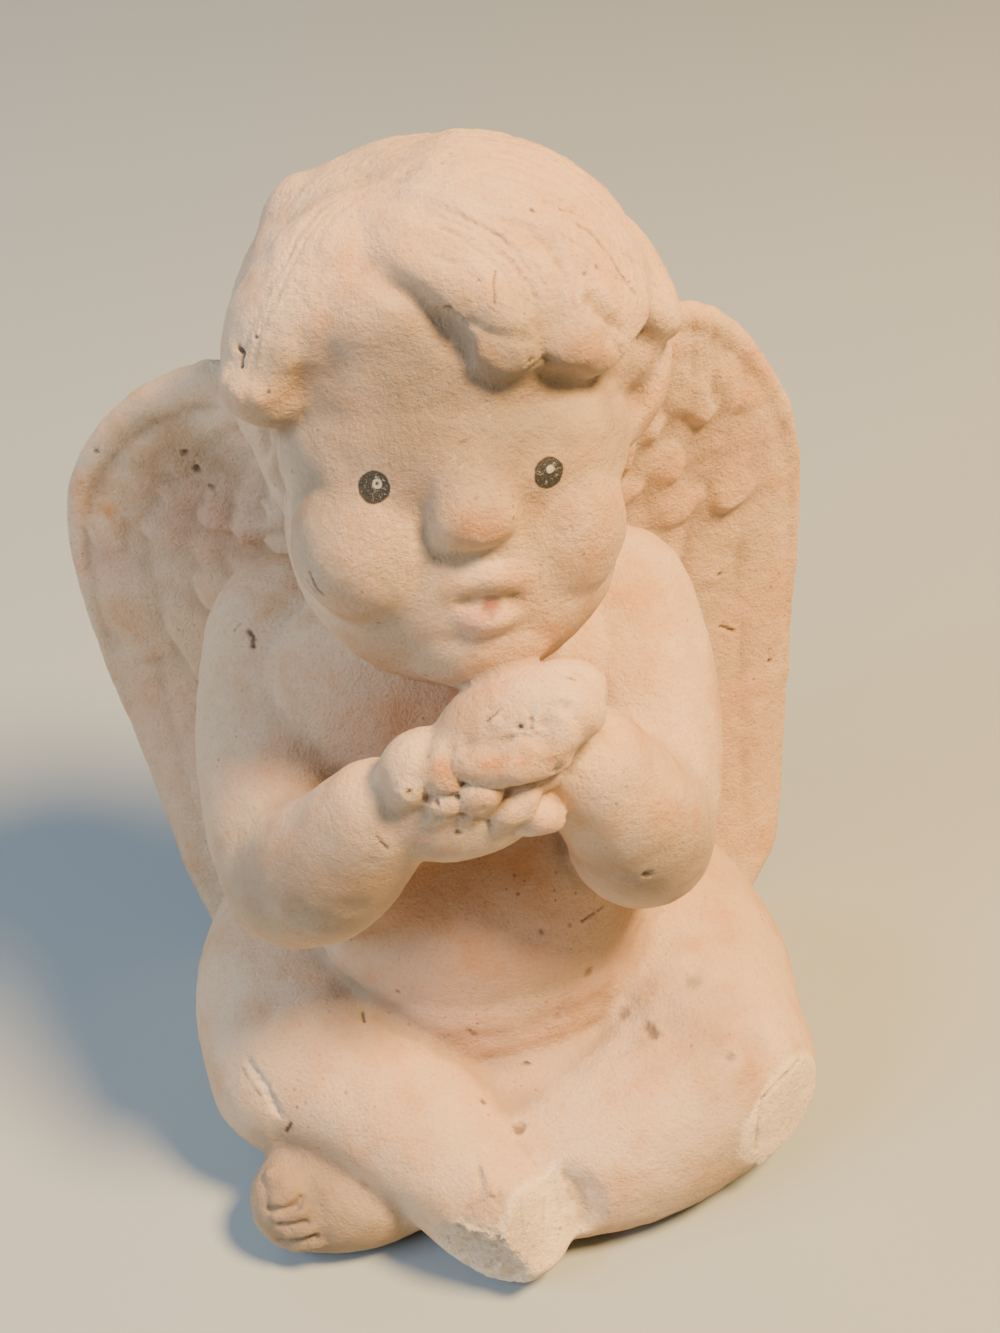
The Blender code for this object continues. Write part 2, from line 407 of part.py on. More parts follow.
# Strokes of the modelling tool: a route on the surface, its half width, and how far it lifts or sinks.
STROKES = [
    ([(12.0, -31.4, 81.1), (13.3, -31.8, 79.6), (12.6, -32.7, 78.4)], 2.2, 0.72),
    ([(9.9, -32.7, 80.8), (10.8, -33.1, 79.7), (11.1, -33.4, 78.5)], 1.3, 0.48),
    ([(8.4, -33.4, 79.9), (8.8, -32.8, 80.8), (9.6, -32.4, 81.1), (10.7, -32.3, 81.0)], 0.6, -0.54),
    ([(10.9, -32.4, 80.7), (11.8, -32.9, 79.3), (12.2, -33.0, 77.6)], 0.6, -0.34),
    ([(11.6, -33.3, 77.0), (13.2, -30.4, 73.9), (14.4, -29.1, 74.1)], 1.6, -0.54),
    ([(1.4, -33.9, 76.8), (3.7, -34.3, 76.7), (6.3, -34.4, 76.5), (8.9, -34.1, 76.3),
      (10.2, -33.8, 76.8)], 1.9, 0.64),
    ([(0.8, -32.8, 78.0), (3.9, -33.7, 78.5), (6.5, -34.0, 78.9), (8.5, -34.1, 78.6)], 0.6, -0.36),
    ([(0.4, -34.0, 74.3), (3.5, -34.8, 74.5), (6.7, -33.9, 73.6), (10.1, -31.3, 71.8)], 0.6, -0.34),
    ([(0.4, -32.9, 77.4), (0.1, -34.0, 76.4), (0.0, -33.7, 74.0)], 0.7, -0.34),
    ([(-5.9, -32.9, 75.8), (-6.1, -33.9, 73.8)], 2.4, 0.4),
    ([(-2.0, -33.0, 76.3), (-2.2, -34.3, 74.5)], 2.0, 0.4),
    ([(-3.7, -31.8, 76.4), (-3.9, -33.7, 74.9), (-4.0, -33.9, 72.0)], 0.7, -0.34),
    ([(-3.3, -34.7, 71.4), (-1.4, -35.0, 71.4)], 1.1, 0.4),
    ([(0.2, -35.1, 72.5), (2.5, -35.1, 72.1)], 1.6, 0.4),
    ([(-0.4, -35.3, 70.7)], 0.6, -0.24),
    ([(1.6, -35.6, 71.6)], 0.6, -0.24),
    ([(6.4, -34.8, 69.3), (8.2, -34.4, 67.8), (8.1, -34.1, 66.1)], 2.0, 0.4),
    ([(3.6, -35.0, 67.5), (5.2, -34.8, 67.9), (5.6, -35.1, 70.3), (5.5, -34.3, 71.4)], 0.7, -0.42),
    ([(3.5, -32.5, 80.1)], 0.6, 0.28),
    ([(5.0, -32.3, 80.8)], 0.6, 0.24),
    ([(5.9, -34.0, 78.9)], 0.6, 0.24),
    ([(-3.1, -14.0, 121.4), (-0.9, -15.2, 120.1), (1.9, -15.8, 118.2), (3.5, -16.5, 116.5),
      (4.1, -17.6, 114.5)], 0.9, -0.25),
    ([(4.7, -18.5, 112.0), (6.3, -18.5, 111.0), (8.2, -18.0, 110.6), (10.1, -20.1, 113.2),
      (11.7, -19.2, 113.8)], 0.6, -0.24),
    ([(4.7, -18.6, 118.5), (6.5, -19.7, 117.9), (8.6, -20.2, 117.3), (10.6, -19.6, 117.0)], 0.6, -0.27),
    ([(5.8, -18.4, 121.1), (7.6, -19.3, 119.4), (9.5, -19.3, 118.5)], 1.4, 0.3),
    ([(5.5, -19.9, 115.4), (7.6, -20.8, 114.0), (9.7, -20.5, 115.0)], 1.2, 0.24),
    ([(12.0, -19.0, 113.9), (14.0, -15.2, 110.4), (16.7, -13.1, 108.0), (19.8, -8.6, 105.3)], 0.6, -0.24),
    ([(14.3, -18.4, 114.7), (16.8, -17.9, 113.0), (18.6, -16.7, 113.1)], 1.6, 0.3),
    ([(18.0, -15.9, 116.5), (19.8, -15.5, 114.3)], 0.6, -0.3),
    ([(18.0, -16.3, 115.8), (19.2, -15.9, 114.2), (19.9, -16.2, 112.9)], 0.6, 0.3),
    ([(20.4, -13.8, 116.0), (22.9, -12.3, 114.0)], 1.8, 0.36),
    ([(-12.2, -14.5, 116.3), (-12.2, -14.9, 113.4), (-12.8, -14.4, 110.3),
      (-14.2, -14.8, 108.9)], 0.9, -0.36),
    ([(-19.4, -11.6, 112.5), (-18.1, -13.2, 112.8), (-16.8, -14.3, 112.4)], 0.8, -0.24),
    ([(-20.1, -12.3, 111.0), (-18.9, -14.2, 110.5), (-16.7, -15.2, 110.0)], 0.8, 0.24),
    ([(-18.0, -5.3, 101.2)], 0.7, 0.3),
    ([(-16.6, -7.2, 101.0), (-17.5, -6.1, 96.6), (-17.1, -6.6, 93.0)], 0.6, 0.3),
    ([(-17.3, -5.9, 101.3), (-18.2, -5.4, 97.5)], 0.7, -0.25),
    ([(-14.9, -12.8, 103.6), (-15.7, -12.2, 100.3)], 0.6, 0.3),
    ([(-15.6, -10.5, 103.4)], 0.6, -0.25),
    ([(-19.6, -3.7, 99.2)], 0.6, 0.3),
    ([(-20.7, 17.1, 77.2), (-19.9, 15.7, 75.1)], 0.6, 0.3),
    ([(-8.5, -19.6, 105.0), (-6.3, -20.9, 104.7), (-4.1, -21.7, 104.7)], 1.6, -0.35),
    ([(9.1, -20.9, 104.7), (11.5, -20.0, 104.4), (14.0, -18.9, 103.5)], 1.6, -0.3),
    ([(-29.0, -35.9, 9.9), (-27.0, -36.7, 10.4), (-25.5, -36.7, 10.9), (-24.7, -36.2, 11.6)], 0.6, -0.7),
    ([(-27.4, -37.5, 8.7), (-25.9, -37.9, 8.9), (-24.5, -37.9, 9.2)], 0.6, -0.5),
    ([(-27.8, -37.6, 5.7), (-25.7, -38.3, 6.4), (-23.5, -38.6, 7.0)], 0.6, -0.7),
    ([(-28.2, -35.4, 11.1), (-25.3, -35.6, 12.0)], 0.9, 0.4),
    ([(-28.0, -36.9, 9.4), (-24.9, -37.3, 10.3)], 0.7, 0.4),
    ([(-27.1, -37.8, 7.4), (-24.0, -38.2, 8.2)], 0.7, 0.4),
    ([(-26.5, -37.7, 4.2), (-23.3, -38.7, 5.7)], 0.7, 0.4),
    ([(-23.7, -34.8, 12.7), (-22.8, -37.5, 10.2), (-23.0, -38.7, 6.7)], 0.9, -0.35),
    ([(-29.4, -31.9, 11.5), (-28.8, -35.1, 10.9)], 0.6, -0.3),
    ([(-28.7, -32.3, 12.0), (-26.2, -34.6, 12.4)], 0.9, 0.5),
    ([(-2.3, -37.8, 18.6), (-1.9, -40.2, 17.5), (-1.7, -42.1, 16.4)], 0.6, 0.4),
    ([(-5.0, -42.8, 7.3), (-3.2, -44.2, 7.8)], 0.6, -0.3),
    ([(36.0, -31.0, 7.3), (33.5, -33.3, 7.4), (31.7, -34.4, 7.1)], 0.6, 0.4),
    ([(37.9, -28.7, 13.3), (37.5, -29.3, 9.6), (36.3, -30.6, 7.5)], 0.6, 0.3),
    ([(-12.0, -20.7, 26.2), (-9.2, -23.1, 24.6), (-5.0, -24.2, 23.3), (1.2, -24.8, 23.8),
      (7.5, -23.9, 24.7), (14.1, -20.6, 24.1)], 1.5, -0.36),
]
STROKE_FADE = 1.7      # a stroke fades out at this many half widths
STROKE_SPACING = 0.3

# Flats where the cast is broken: the way each faces, its middle, how far it reaches, and over what
# share of that it fades.
BREAKS = [((-0.45, -0.88, -0.15), (-2.7, -44.1, 7.5), 8.0),
          ((0.58, -0.72, 0.38), (3.6, -43.4, 10.8), 9.0),
          ((0.68, -0.73, 0.07), (35.2, -31.2, 12.0), 10.5)]
BREAK_FADE = 2.0


def arrays(mesh):
    """The points and normals of a mesh."""
    points, normals = np.empty(len(mesh.vertices) * 3), np.empty(len(mesh.vertices) * 3)
    mesh.vertices.foreach_get("co", points)
    mesh.vertex_normals.foreach_get("vector", normals)
    return points.reshape(-1, 3), normals.reshape(-1, 3)


def stroke_path(route):
    path = [np.array(route[0])]
    for a, b in zip(route, route[1:]):
        a, b = np.array(a), np.array(b)
        steps = max(2, round(np.linalg.norm(b - a) / STROKE_SPACING))
        path += [a + (b - a) * t / steps for t in range(1, steps + 1)]
    return np.array(path)


def modelled(mesh):
    """Presses the strokes into the clay."""
    points, normals = arrays(mesh)
    moved = points.copy()
    for route, half, lift in STROKES:
        path, reach = stroke_path(route), half * STROKE_FADE
        inside = ((points > path.min(axis=0) - reach) & (points < path.max(axis=0) + reach)).all(axis=1)
        which = np.flatnonzero(inside)
        if len(which):
            far = np.linalg.norm(points[which][:, None] - path[None], axis=2).min(axis=1) / reach
            fall = np.clip(1 - far ** 2, 0, 1) ** 2
            moved[which] += normals[which] * (fall * lift)[:, None]
    mesh.vertices.foreach_set("co", moved.ravel())
    mesh.update()


def broken(mesh):
    points, _ = arrays(mesh)
    for way, middle, reach in BREAKS:
        way, middle = np.array(Vector(way).normalized()), np.array(middle)
        beyond = np.maximum((points - middle) @ way, 0)
        soft = np.clip((reach - np.linalg.norm(points - middle, axis=1)) / BREAK_FADE, 0, 1)
        points -= np.outer(beyond * soft, way)
    mesh.vertices.foreach_set("co", points.ravel())
    mesh.update()


def remeshed(clay, grain, smoothing):
    """The clay as one skin at this grain, smoothed, as a new mesh in units."""
    mesh = bpy.data.meshes.new("clay")
    clay.to_mesh(mesh)
    clay.free()
    obj = bpy.data.objects.new("clay", mesh)
    bpy.context.scene.collection.objects.link(obj)
    skin = obj.modifiers.new("skin", "REMESH")
    skin.mode = "VOXEL"
    skin.voxel_size = grain
    soft = obj.modifiers.new("soft", "SMOOTH")
    soft.factor = SMOOTHING_SHARE
    soft.iterations = round(smoothing)
    result = evaluated(obj)
    bpy.data.objects.remove(obj, do_unlink=True)
    return result


def outer_skin(mesh):
    """Removes the closed skins inside the clay, and leaves the largest one."""
    clay = bmesh.new()
    clay.from_mesh(mesh)
    left, islands = set(clay.verts), []
    while left:
        island, edge = set(), [left.pop()]
        while edge:
            vert = edge.pop()
            island.add(vert)
            near = {e.other_vert(vert) for e in vert.link_edges} & left
            left -= near
            edge += near
        islands.append(island)
    islands.sort(key=len)
    inner = [vert for island in islands[:-1] for vert in island]
    bmesh.ops.delete(clay, geom=inner, context="VERTS")
    clay.to_mesh(mesh)
    clay.free()


def evaluated(obj):
    graph = bpy.context.evaluated_depsgraph_get()
    return bpy.data.meshes.new_from_object(obj.evaluated_get(graph))


def thinned(mesh, triangles):
    obj = bpy.data.objects.new("thin", mesh)
    bpy.context.scene.collection.objects.link(obj)
    thin = obj.modifiers.new("thin", "DECIMATE")
    thin.ratio = min(1.0, triangles / sum(len(p.vertices) - 2 for p in mesh.polygons))
    result = evaluated(obj)
    bpy.data.objects.remove(obj, do_unlink=True)
    return result


def cut_flat(mesh):
    """Cuts away what is under the plane z = 0 and closes the underside with flat faces."""
    clay = bmesh.new()
    clay.from_mesh(mesh)
    geometry = list(clay.verts) + list(clay.edges) + list(clay.faces)
    cut = bmesh.ops.bisect_plane(clay, geom=geometry, dist=1e-5, plane_co=(0, 0, 0),
                                 plane_no=(0, 0, 1), clear_inner=True)
    rim = [e for e in cut["geom_cut"] if isinstance(e, bmesh.types.BMEdge)]
    for edge in rim:
        for vert in edge.verts:
            vert.co.z = 0.0
    bmesh.ops.contextual_create(clay, geom=rim)
    bmesh.ops.triangulate(clay, faces=list(clay.faces))
    clay.to_mesh(mesh)
    clay.free()


def casting(mesh, name):
    """The casting at its real size, in metres, with its origin under the middle."""
    obj = bpy.data.objects.new(name, mesh)
    bpy.context.scene.collection.objects.link(obj)
    corners = [v.co for v in mesh.vertices]
    low = Vector([min(c[i] for c in corners) for i in range(3)])
    high = Vector([max(c[i] for c in corners) for i in range(3)])
    middle = (low + high) / 2
    size = FIGURE_HEIGHT / (high.z - low.z)
    mesh.transform(Matrix.Scale(size, 4) @ Matrix.Translation((-middle.x, -middle.y, -low.z)))
    mesh.shade_smooth()
    mesh.set_sharp_from_angle(angle=math.radians(SHARP_ANGLE))
    return obj


def paint(obj, name, finish):
    material = bpy.data.materials.new(name)
    material.use_nodes = True
    shader = material.node_tree.nodes["Principled BSDF"]
    shader.inputs["Base Color"].default_value = finish["colour"]
    shader.inputs["Roughness"].default_value = finish["roughness"]
    shader.inputs["Metallic"].default_value = finish["metallic"]
    obj.data.materials.clear()
    obj.data.materials.append(material)


def main():
    clear_scene()
    mesh = cherub()
    outer_skin(mesh)
    modelled(mesh)
    broken(mesh)
    mesh = thinned(mesh, TRIANGLES)
    cut_flat(mesh)
    figurine = casting(mesh, "angel_figurine")
    paint(figurine, "whitened_plaster", PLASTER)


main()
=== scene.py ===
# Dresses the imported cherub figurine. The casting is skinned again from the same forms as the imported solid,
# finely enough for its locks, feathers, fingers, toes and chips, and gets its worn chalky coat, with some
# shade and the eyes' highlights painted into it.

import math

import bmesh
import bpy
import numpy as np
from mathutils import Euler, Matrix, Vector
from mathutils import noise as turbulence
from mathutils.kdtree import KDTree


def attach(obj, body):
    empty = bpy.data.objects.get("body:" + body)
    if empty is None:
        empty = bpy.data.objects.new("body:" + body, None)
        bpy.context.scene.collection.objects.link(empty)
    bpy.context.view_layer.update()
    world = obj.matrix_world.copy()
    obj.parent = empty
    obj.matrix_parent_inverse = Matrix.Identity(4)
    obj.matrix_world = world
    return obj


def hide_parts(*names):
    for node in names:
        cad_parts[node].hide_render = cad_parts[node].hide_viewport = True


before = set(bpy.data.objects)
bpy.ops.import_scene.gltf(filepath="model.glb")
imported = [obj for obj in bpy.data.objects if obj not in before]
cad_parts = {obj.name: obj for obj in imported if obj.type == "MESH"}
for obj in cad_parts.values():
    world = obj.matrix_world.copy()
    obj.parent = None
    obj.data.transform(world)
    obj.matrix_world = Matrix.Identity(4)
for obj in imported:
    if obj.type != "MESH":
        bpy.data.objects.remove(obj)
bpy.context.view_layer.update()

layout = {
    "unit": 0.00100755,               # one unit of the forms below, in metres
    "middle": (0.102, -7.834, 0.0),   # the place in units that stands over the origin
}
skin = {
    "softGrain": 0.8, "softSmoothing": 6,
    "fineGrain": 0.44, "fineSmoothing": 3,
    "triangles": 140000,
}


def inMetres(point):
    return Vector([(p - m) * layout["unit"] for p, m in zip(point, layout["middle"])])


def placed(name, data):
    piece = bpy.data.objects.new(name, data)
    bpy.context.scene.collection.objects.link(piece)
    return piece


def heading(azimuth, elevation):
    # a way in degrees, with azimuth 0 at -Y and 90 at +X
    a, e = math.radians(azimuth), math.radians(elevation)
    return Vector((math.sin(a) * math.cos(e), -math.cos(a) * math.cos(e), math.sin(e)))


# Clay tools. Each form is made in a bmesh of its own and pressed into the clay, a list of meshes.

def keep(clay, form):
    mesh = bpy.data.meshes.new("form")
    form.to_mesh(mesh)
    form.free()
    clay.append(mesh)


def ball(clay, centre, radii, turn=(0, 0, 0), place=Matrix()):
    spin = Euler([math.radians(a) for a in turn]).to_matrix().to_4x4()
    matrix = place @ Matrix.Translation(centre) @ spin @ Matrix.Diagonal((*radii, 1))
    form = bmesh.new()
    bmesh.ops.create_icosphere(form, subdivisions=4, radius=1, matrix=matrix)
    keep(clay, form)


def through(stations, steps):
    rows = [Vector(s) for s in stations]
    rows = [2 * rows[0] - rows[1]] + rows + [2 * rows[-1] - rows[-2]]
    path = []
    for a, b, c, d in zip(rows, rows[1:], rows[2:], rows[3:]):
        for i in range(steps):
            t = i / steps
            path.append(b + 0.5 * t * (c - a + t * (2 * a - 5 * b + 4 * c - d + t * (3 * (b - c) + d - a))))
    return path + [rows[-2]]


def roll(clay, stations, facing=(0, 0, 1), flat=1.0, place=Matrix(), steps=6, sides=32):
    # stations are (x, y, z, radius); flat is the thickness towards facing
    path = through(stations, steps)
    centres = [Vector(p[:3]) for p in path]
    radii = [max(p[3], 0.05) for p in path]
    tangents = [(centres[min(i + 1, len(path) - 1)] - centres[max(i - 1, 0)]).normalized()
                for i in range(len(path))]
    rings = list(zip(centres, radii, tangents))
    for end, way in ((0, -1), (-1, 1)):
        centre, radius, tangent = rings[end]
        cap = [(centre + tangent * way * radius * math.sin(a), radius * math.cos(a), tangent)
               for a in (math.radians(d) for d in (20, 40, 60, 80))]
        rings = cap[::-1] + rings if way < 0 else rings + cap
    form = bmesh.new()
    loops = []
    for i, (centre, radius, tangent) in enumerate(rings):
        side = tangent.cross(Vector(facing)).normalized()
        up = side.cross(tangent)
        turned = Matrix((side * radius, up * radius * flat, tangent)).transposed().to_4x4()
        matrix = place @ Matrix.Translation(centre) @ turned
        ring = bmesh.ops.create_circle(form, cap_ends=i in (0, len(rings) - 1), segments=sides,
                                       radius=1, matrix=matrix)
        loops.append({e for v in ring["verts"] for e in v.link_edges})
    for one, two in zip(loops, loops[1:]):
        bmesh.ops.bridge_loops(form, edges=list(one | two))
    keep(clay, form)


def skinned(clay, grain, smoothing):
    whole, joined = bmesh.new(), []
    for mesh in clay:
        whole.from_mesh(mesh)
        bpy.data.meshes.remove(mesh)
    keep(joined, whole)
    piece = placed("clay", joined[0])
    remesh = piece.modifiers.new("skin", "REMESH")
    remesh.mode = "VOXEL"
    remesh.voxel_size = grain
    smooth = piece.modifiers.new("soft", "SMOOTH")
    smooth.factor = 0.5
    smooth.iterations = smoothing
    return applied(piece)


def applied(piece):
    graph = bpy.context.evaluated_depsgraph_get()
    mesh = bpy.data.meshes.new_from_object(piece.evaluated_get(graph))
    bpy.data.objects.remove(piece, do_unlink=True)
    return mesh


# Body

body = {
    "torso": [((0.5, 9, 13), (34, 22, 18)), ((1, -5, 5), (30, 28, 8)), ((0.5, -3, 32), (22.5, 21, 21)),
              ((1, -8, 24), (20, 17, 14)), ((0, 3, 56), (20, 15, 18)), ((0, 12, 46), (20, 11.5, 36)),
              ((-8, -3.2, 62), (17.5, 11.8, 15)), ((9, -3, 61), (14, 9.6, 14)),
              ((6, -22, 9), (19, 13, 11)), ((19.5, -18.8, 1.5), (4.5, 4.5, 4.5))],
    "neck": [(0, 8, 66, 13), (0.3, 6, 80, 12.5), (0.5, 2, 90, 12)],
    "arms": [[(-19, 4, 66, 10.5), (-21.5, -4, 59, 10), (-21.5, -12, 52.5, 9.6), (-20.5, -18, 48.5, 9)],
             [(-20.5, -18, 48.5, 9), (-16, -24, 55, 8.4), (-9.8, -27.5, 64.5, 6.6)],
             [(19.5, 4, 66, 10.5), (21.5, -4, 59, 10), (21.2, -12, 52.5, 9.4), (20, -18, 48.8, 8.8)],
             [(20, -18, 48.8, 8.8), (18.3, -23, 57, 8.2), (13.5, -26, 68, 6.6)]],
    "thighs": [[(-19, 8, 15, 15.5), (-23.5, -5, 15, 14.5), (-23, -16, 14.5, 13.5)],
               [(18, 8, 15, 15.5), (25, -7, 14, 15), (26.8, -20, 12.5, 13.6)]],
    "frontShin": [(-22.5, -16.5, 15.2, 12.6), (-13, -26, 14.5, 10.4), (-6, -32, 11.8, 9.2)],
    "backShin": [(27.8, -22.5, 12, 13.2), (17, -29, 10, 11.8), (5, -32, 8.5, 9.6), (-9, -30.5, 6.5, 6.6)],
}


def pressBody(clay):
    for centre, radii in body["torso"]:
        ball(clay, centre, radii)
    for stations in [body["neck"], body["frontShin"], body["backShin"]] + body["arms"] + body["thighs"]:
        roll(clay, stations)


# Head

head = {"centre": (0.6, -3.0, 101.0), "turn": 7, "tilt": 15, "lean": 5}
head["place"] = (Matrix.Translation(head["centre"]) @ Matrix.Rotation(math.radians(head["turn"]), 4, "Z")
                 @ Matrix.Rotation(math.radians(-head["tilt"]), 4, "X")
                 @ Matrix.Rotation(math.radians(head["lean"]), 4, "Y"))
skull = [((2, 3.5, 4.5), (20, 21, 20.5)), ((1.0, -5.0, 6.0), (17.5, 13.2, 13.5)),
         ((1.5, -4.5, -3.0), (18.9, 15.6, 13)), ((1.3, -3.3, -12.2), (18.4, 17.6, 18.2)),
         ((-8.3, -11.2, -11.0), (8.8, 9.4, 9.0)), ((10.2, -11.0, -10.6), (8.2, 9.2, 8.8)),
         ((-4.4, -8.4, 11.4), (10.5, 8.6, 8.8)), ((-10.4, 8.4, 17.2), (6.6, 7.5, 6.6)),
         ((-18.0, -6.8, 5.2), (5.0, 5.6, 4.6))]
face = {
    "nose": [[(-0.4, -17.2, -1.6, 2.0), (-0.7, -19.0, -4.2, 2.5), (-0.9, -20.3, -6.5, 2.8)],
             [(2.2, -17.2, -1.6, 2.0), (2.5, -19.0, -4.2, 2.5), (2.7, -20.3, -6.5, 2.8)]],
    "noseTip": ((0.9, -20.1, -7.3), (4.4, 3.2, 2.3)),
    "upperLip": [(-2.8, -19.5, -14.6, 0.9), (-0.3, -20.4, -13.4, 1.2), (1.9, -20.8, -13.0, 1.35),
                 (4.1, -20.4, -13.3, 1.2), (6.6, -19.2, -14.6, 0.9)],
    "lowerLip": [(-1.0, -19.4, -17.1, 1.0), (0.9, -19.9, -17.8, 1.4), (3.2, -19.9, -17.8, 1.4),
                 (5.1, -19.2, -17.2, 1.0)],
    "chin": ((1.6, -11.4, -19.8), (9.6, 8.0, 8.4)),
}


def pressSkull(clay):
    for centre, radii in skull:
        ball(clay, centre, radii, place=head["place"])
    for stations in face["nose"] + [face["upperLip"], face["lowerLip"]]:
        roll(clay, stations, place=head["place"])
    ball(clay, *face["noseTip"], place=head["place"])


# Hair: each lock is a route over the scalp of (azimuth, elevation, lift, radius). Azimuth 0 is the front
# and 90 the side at +X.

hair = {
    "centre": (2.0, 3.5, 4.5), "radii": (22.3, 22.5, 22.0),
    "cap": ((1.4, 5.6, 6.4), (22.2, 21.0, 20.9)),
    "fringe": [
        [(-34, 56, -1.0, 4.5), (-16, 45, 0.1, 5.4), (1, 34, 0.4, 5.4), (7, 25, 0.5, 4.8),
         (8, 15.5, 0.1, 4.2)],
        [(-38, 66, -2.4, 5.5), (-4, 60, -0.4, 7.0), (22, 46, 0.3, 7.0), (29, 30, 0.7, 5.6),
         (25, 17, 0.6, 4.5)],
        [(-36, 61, -2.0, 5.5), (-10, 53, -0.5, 6.5), (12, 41, 0.2, 6.2), (18, 29, 0.2, 5.0)],
        [(-44, 74, -3.2, 5.5), (12, 70, -1.0, 7.5), (45, 48, -0.3, 7.5), (47, 29, 0.1, 6.0),
         (34, 13.5, -0.2, 4.3)],
        [(-60, 80, -3.8, 6.0), (60, 72, -2.6, 7.5), (75, 46, -2.6, 7.5), (75, 28, -0.3, 5.6),
         (67, 15, 1.2, 4.6)],
        [(-42, 58, -2.0, 5.5), (-48, 44, -1.2, 6.8), (-56, 28, -0.6, 7.2), (-61, 14, 0.2, 7.0),
         (-63, 6, 0.4, 5.8)],
        [(-50, 64, -3.0, 6.0), (-62, 50, -3.2, 7.3), (-72, 32, -3.2, 7.0), (-76, 14, -1.4, 6.4),
         (-75, 5, -0.8, 5.8)],
        [(-60, 74, -5.0, 6.0), (-84, 52, -5.0, 7.5), (-92, 33, -4.6, 6.0), (-95, 19, -2.6, 4.8)]],
    "bumps": [(-94, 16, -3.2, 4.6), (-86, -1, -2.8, 4.6), (68, 5, -3.4, 5.0)],
    "overEars": [[(84, 6, -0.4, 4.6), (78, -8, 0.0, 4.4), (74, -22, -0.8, 3.4)],
                 [(104, 8, -1.6, 5.2), (98, -12, -0.6, 4.8), (92, -30, -1.5, 3.4)],
                 [(-92, -2, -1.6, 4.6), (-90, -18, -1.2, 3.4), (-88, -31, 0.0, 3.0), (-86, -42, 1.2, 2.6),
                  (-84, -52, 1.6, 2.0)],
                 [(-112, 8, -2.4, 5.2), (-106, -10, -2.4, 4.4), (-100, -28, -2.0, 3.2)]],
    "backLocks": 7, "backFrom": 100, "backSpan": 160, "backDrift": (-6, 8),
    # where the hair ends, as (azimuth, elevation) round the head
    "line": [(-180, -24), (-100, -24), (-80, -14), (-58, -7), (-50, 2), (-47, 17), (-33, 36), (-23, 32),
             (-2, 24), (0, 6), (13, 5), (27, 4), (51, 4), (74, 3), (80, -12), (100, -24), (180, -24)],
}
# The way the strands run, as guides of (azimuth, elevation) side by side.
combing = {
    "strandsBetweenGuides": 3.2, "depth": 0.13, "wander": 0.12,
    "hairline": 5,     # degrees over which the strands fade in
    "scalp": 18,       # nearer the middle of the head than this there is no hair
    "right": [[(-40, 50), (-16, 41), (1, 30), (7, 20), (7, 6)],
              [(-38, 60), (-8, 54), (14, 42), (20, 30), (15, 14)],
              [(-40, 68), (0, 64), (30, 52), (38, 34), (30, 16)],
              [(-44, 76), (20, 70), (52, 52), (58, 32), (46, 10)],
              [(-60, 82), (60, 74), (76, 50), (77, 27), (74, 8)],
              [(-90, 84), (110, 76), (102, 52), (98, 24), (94, -20)],
              [(-130, 84), (150, 74), (130, 50), (124, 20), (120, -24)]],
    "left": [[(-42, 50), (-44, 38), (-46, 22), (-46, 5)],
             [(-46, 62), (-54, 46), (-62, 26), (-66, 3)],
             [(-54, 72), (-74, 54), (-86, 30), (-88, -10)],
             [(-70, 78), (-100, 56), (-110, 28), (-108, -20)],
             [(-100, 80), (-136, 56), (-140, 26), (-138, -24)],
             [(-130, 82), (-166, 58), (-168, 26), (-168, -24)],
             [(-160, 84), (166, 58), (158, 26), (154, -24)]],
}


def onScalp(azimuth, elevation, lift=0.0):
    way = heading(azimuth, elevation)
    return Vector(hair["centre"]) + Vector([(r + lift) * w for r, w in zip(hair["radii"], way)])


def lock(clay, route, flat=0.55):
    stations = [(*onScalp(a, e, lift), radius) for a, e, lift, radius in through(route, 5)]
    facing = (Vector(stations[len(stations) // 2][:3]) - Vector(hair["centre"])).normalized()
    roll(clay, stations, facing=facing, flat=flat, place=head["place"], steps=1, sides=20)


def pressHair(clay):
    ball(clay, *hair["cap"], place=head["place"])
    for route in hair["fringe"] + hair["overEars"]:
        lock(clay, route)
    for azimuth, elevation, lift, radius in hair["bumps"]:
        ball(clay, onScalp(azimuth, elevation, lift), [radius] * 3, place=head["place"])
    for i in range(hair["backLocks"]):
        azimuth = hair["backFrom"] + i * hair["backSpan"] / (hair["backLocks"] - 1)
        drift = hair["backDrift"][i % 2]
        lock(clay, [(azimuth * 0.5 + 90, 78, -3.4, 5.5), (azimuth + drift, 48, -3.4, 7.0),
                    (azimuth, 20, -2.4, 6.6), (azimuth - drift, -6, -1.6, 5.6), (azimuth, -24, -1.4, 3.6)])


# Hands and feet

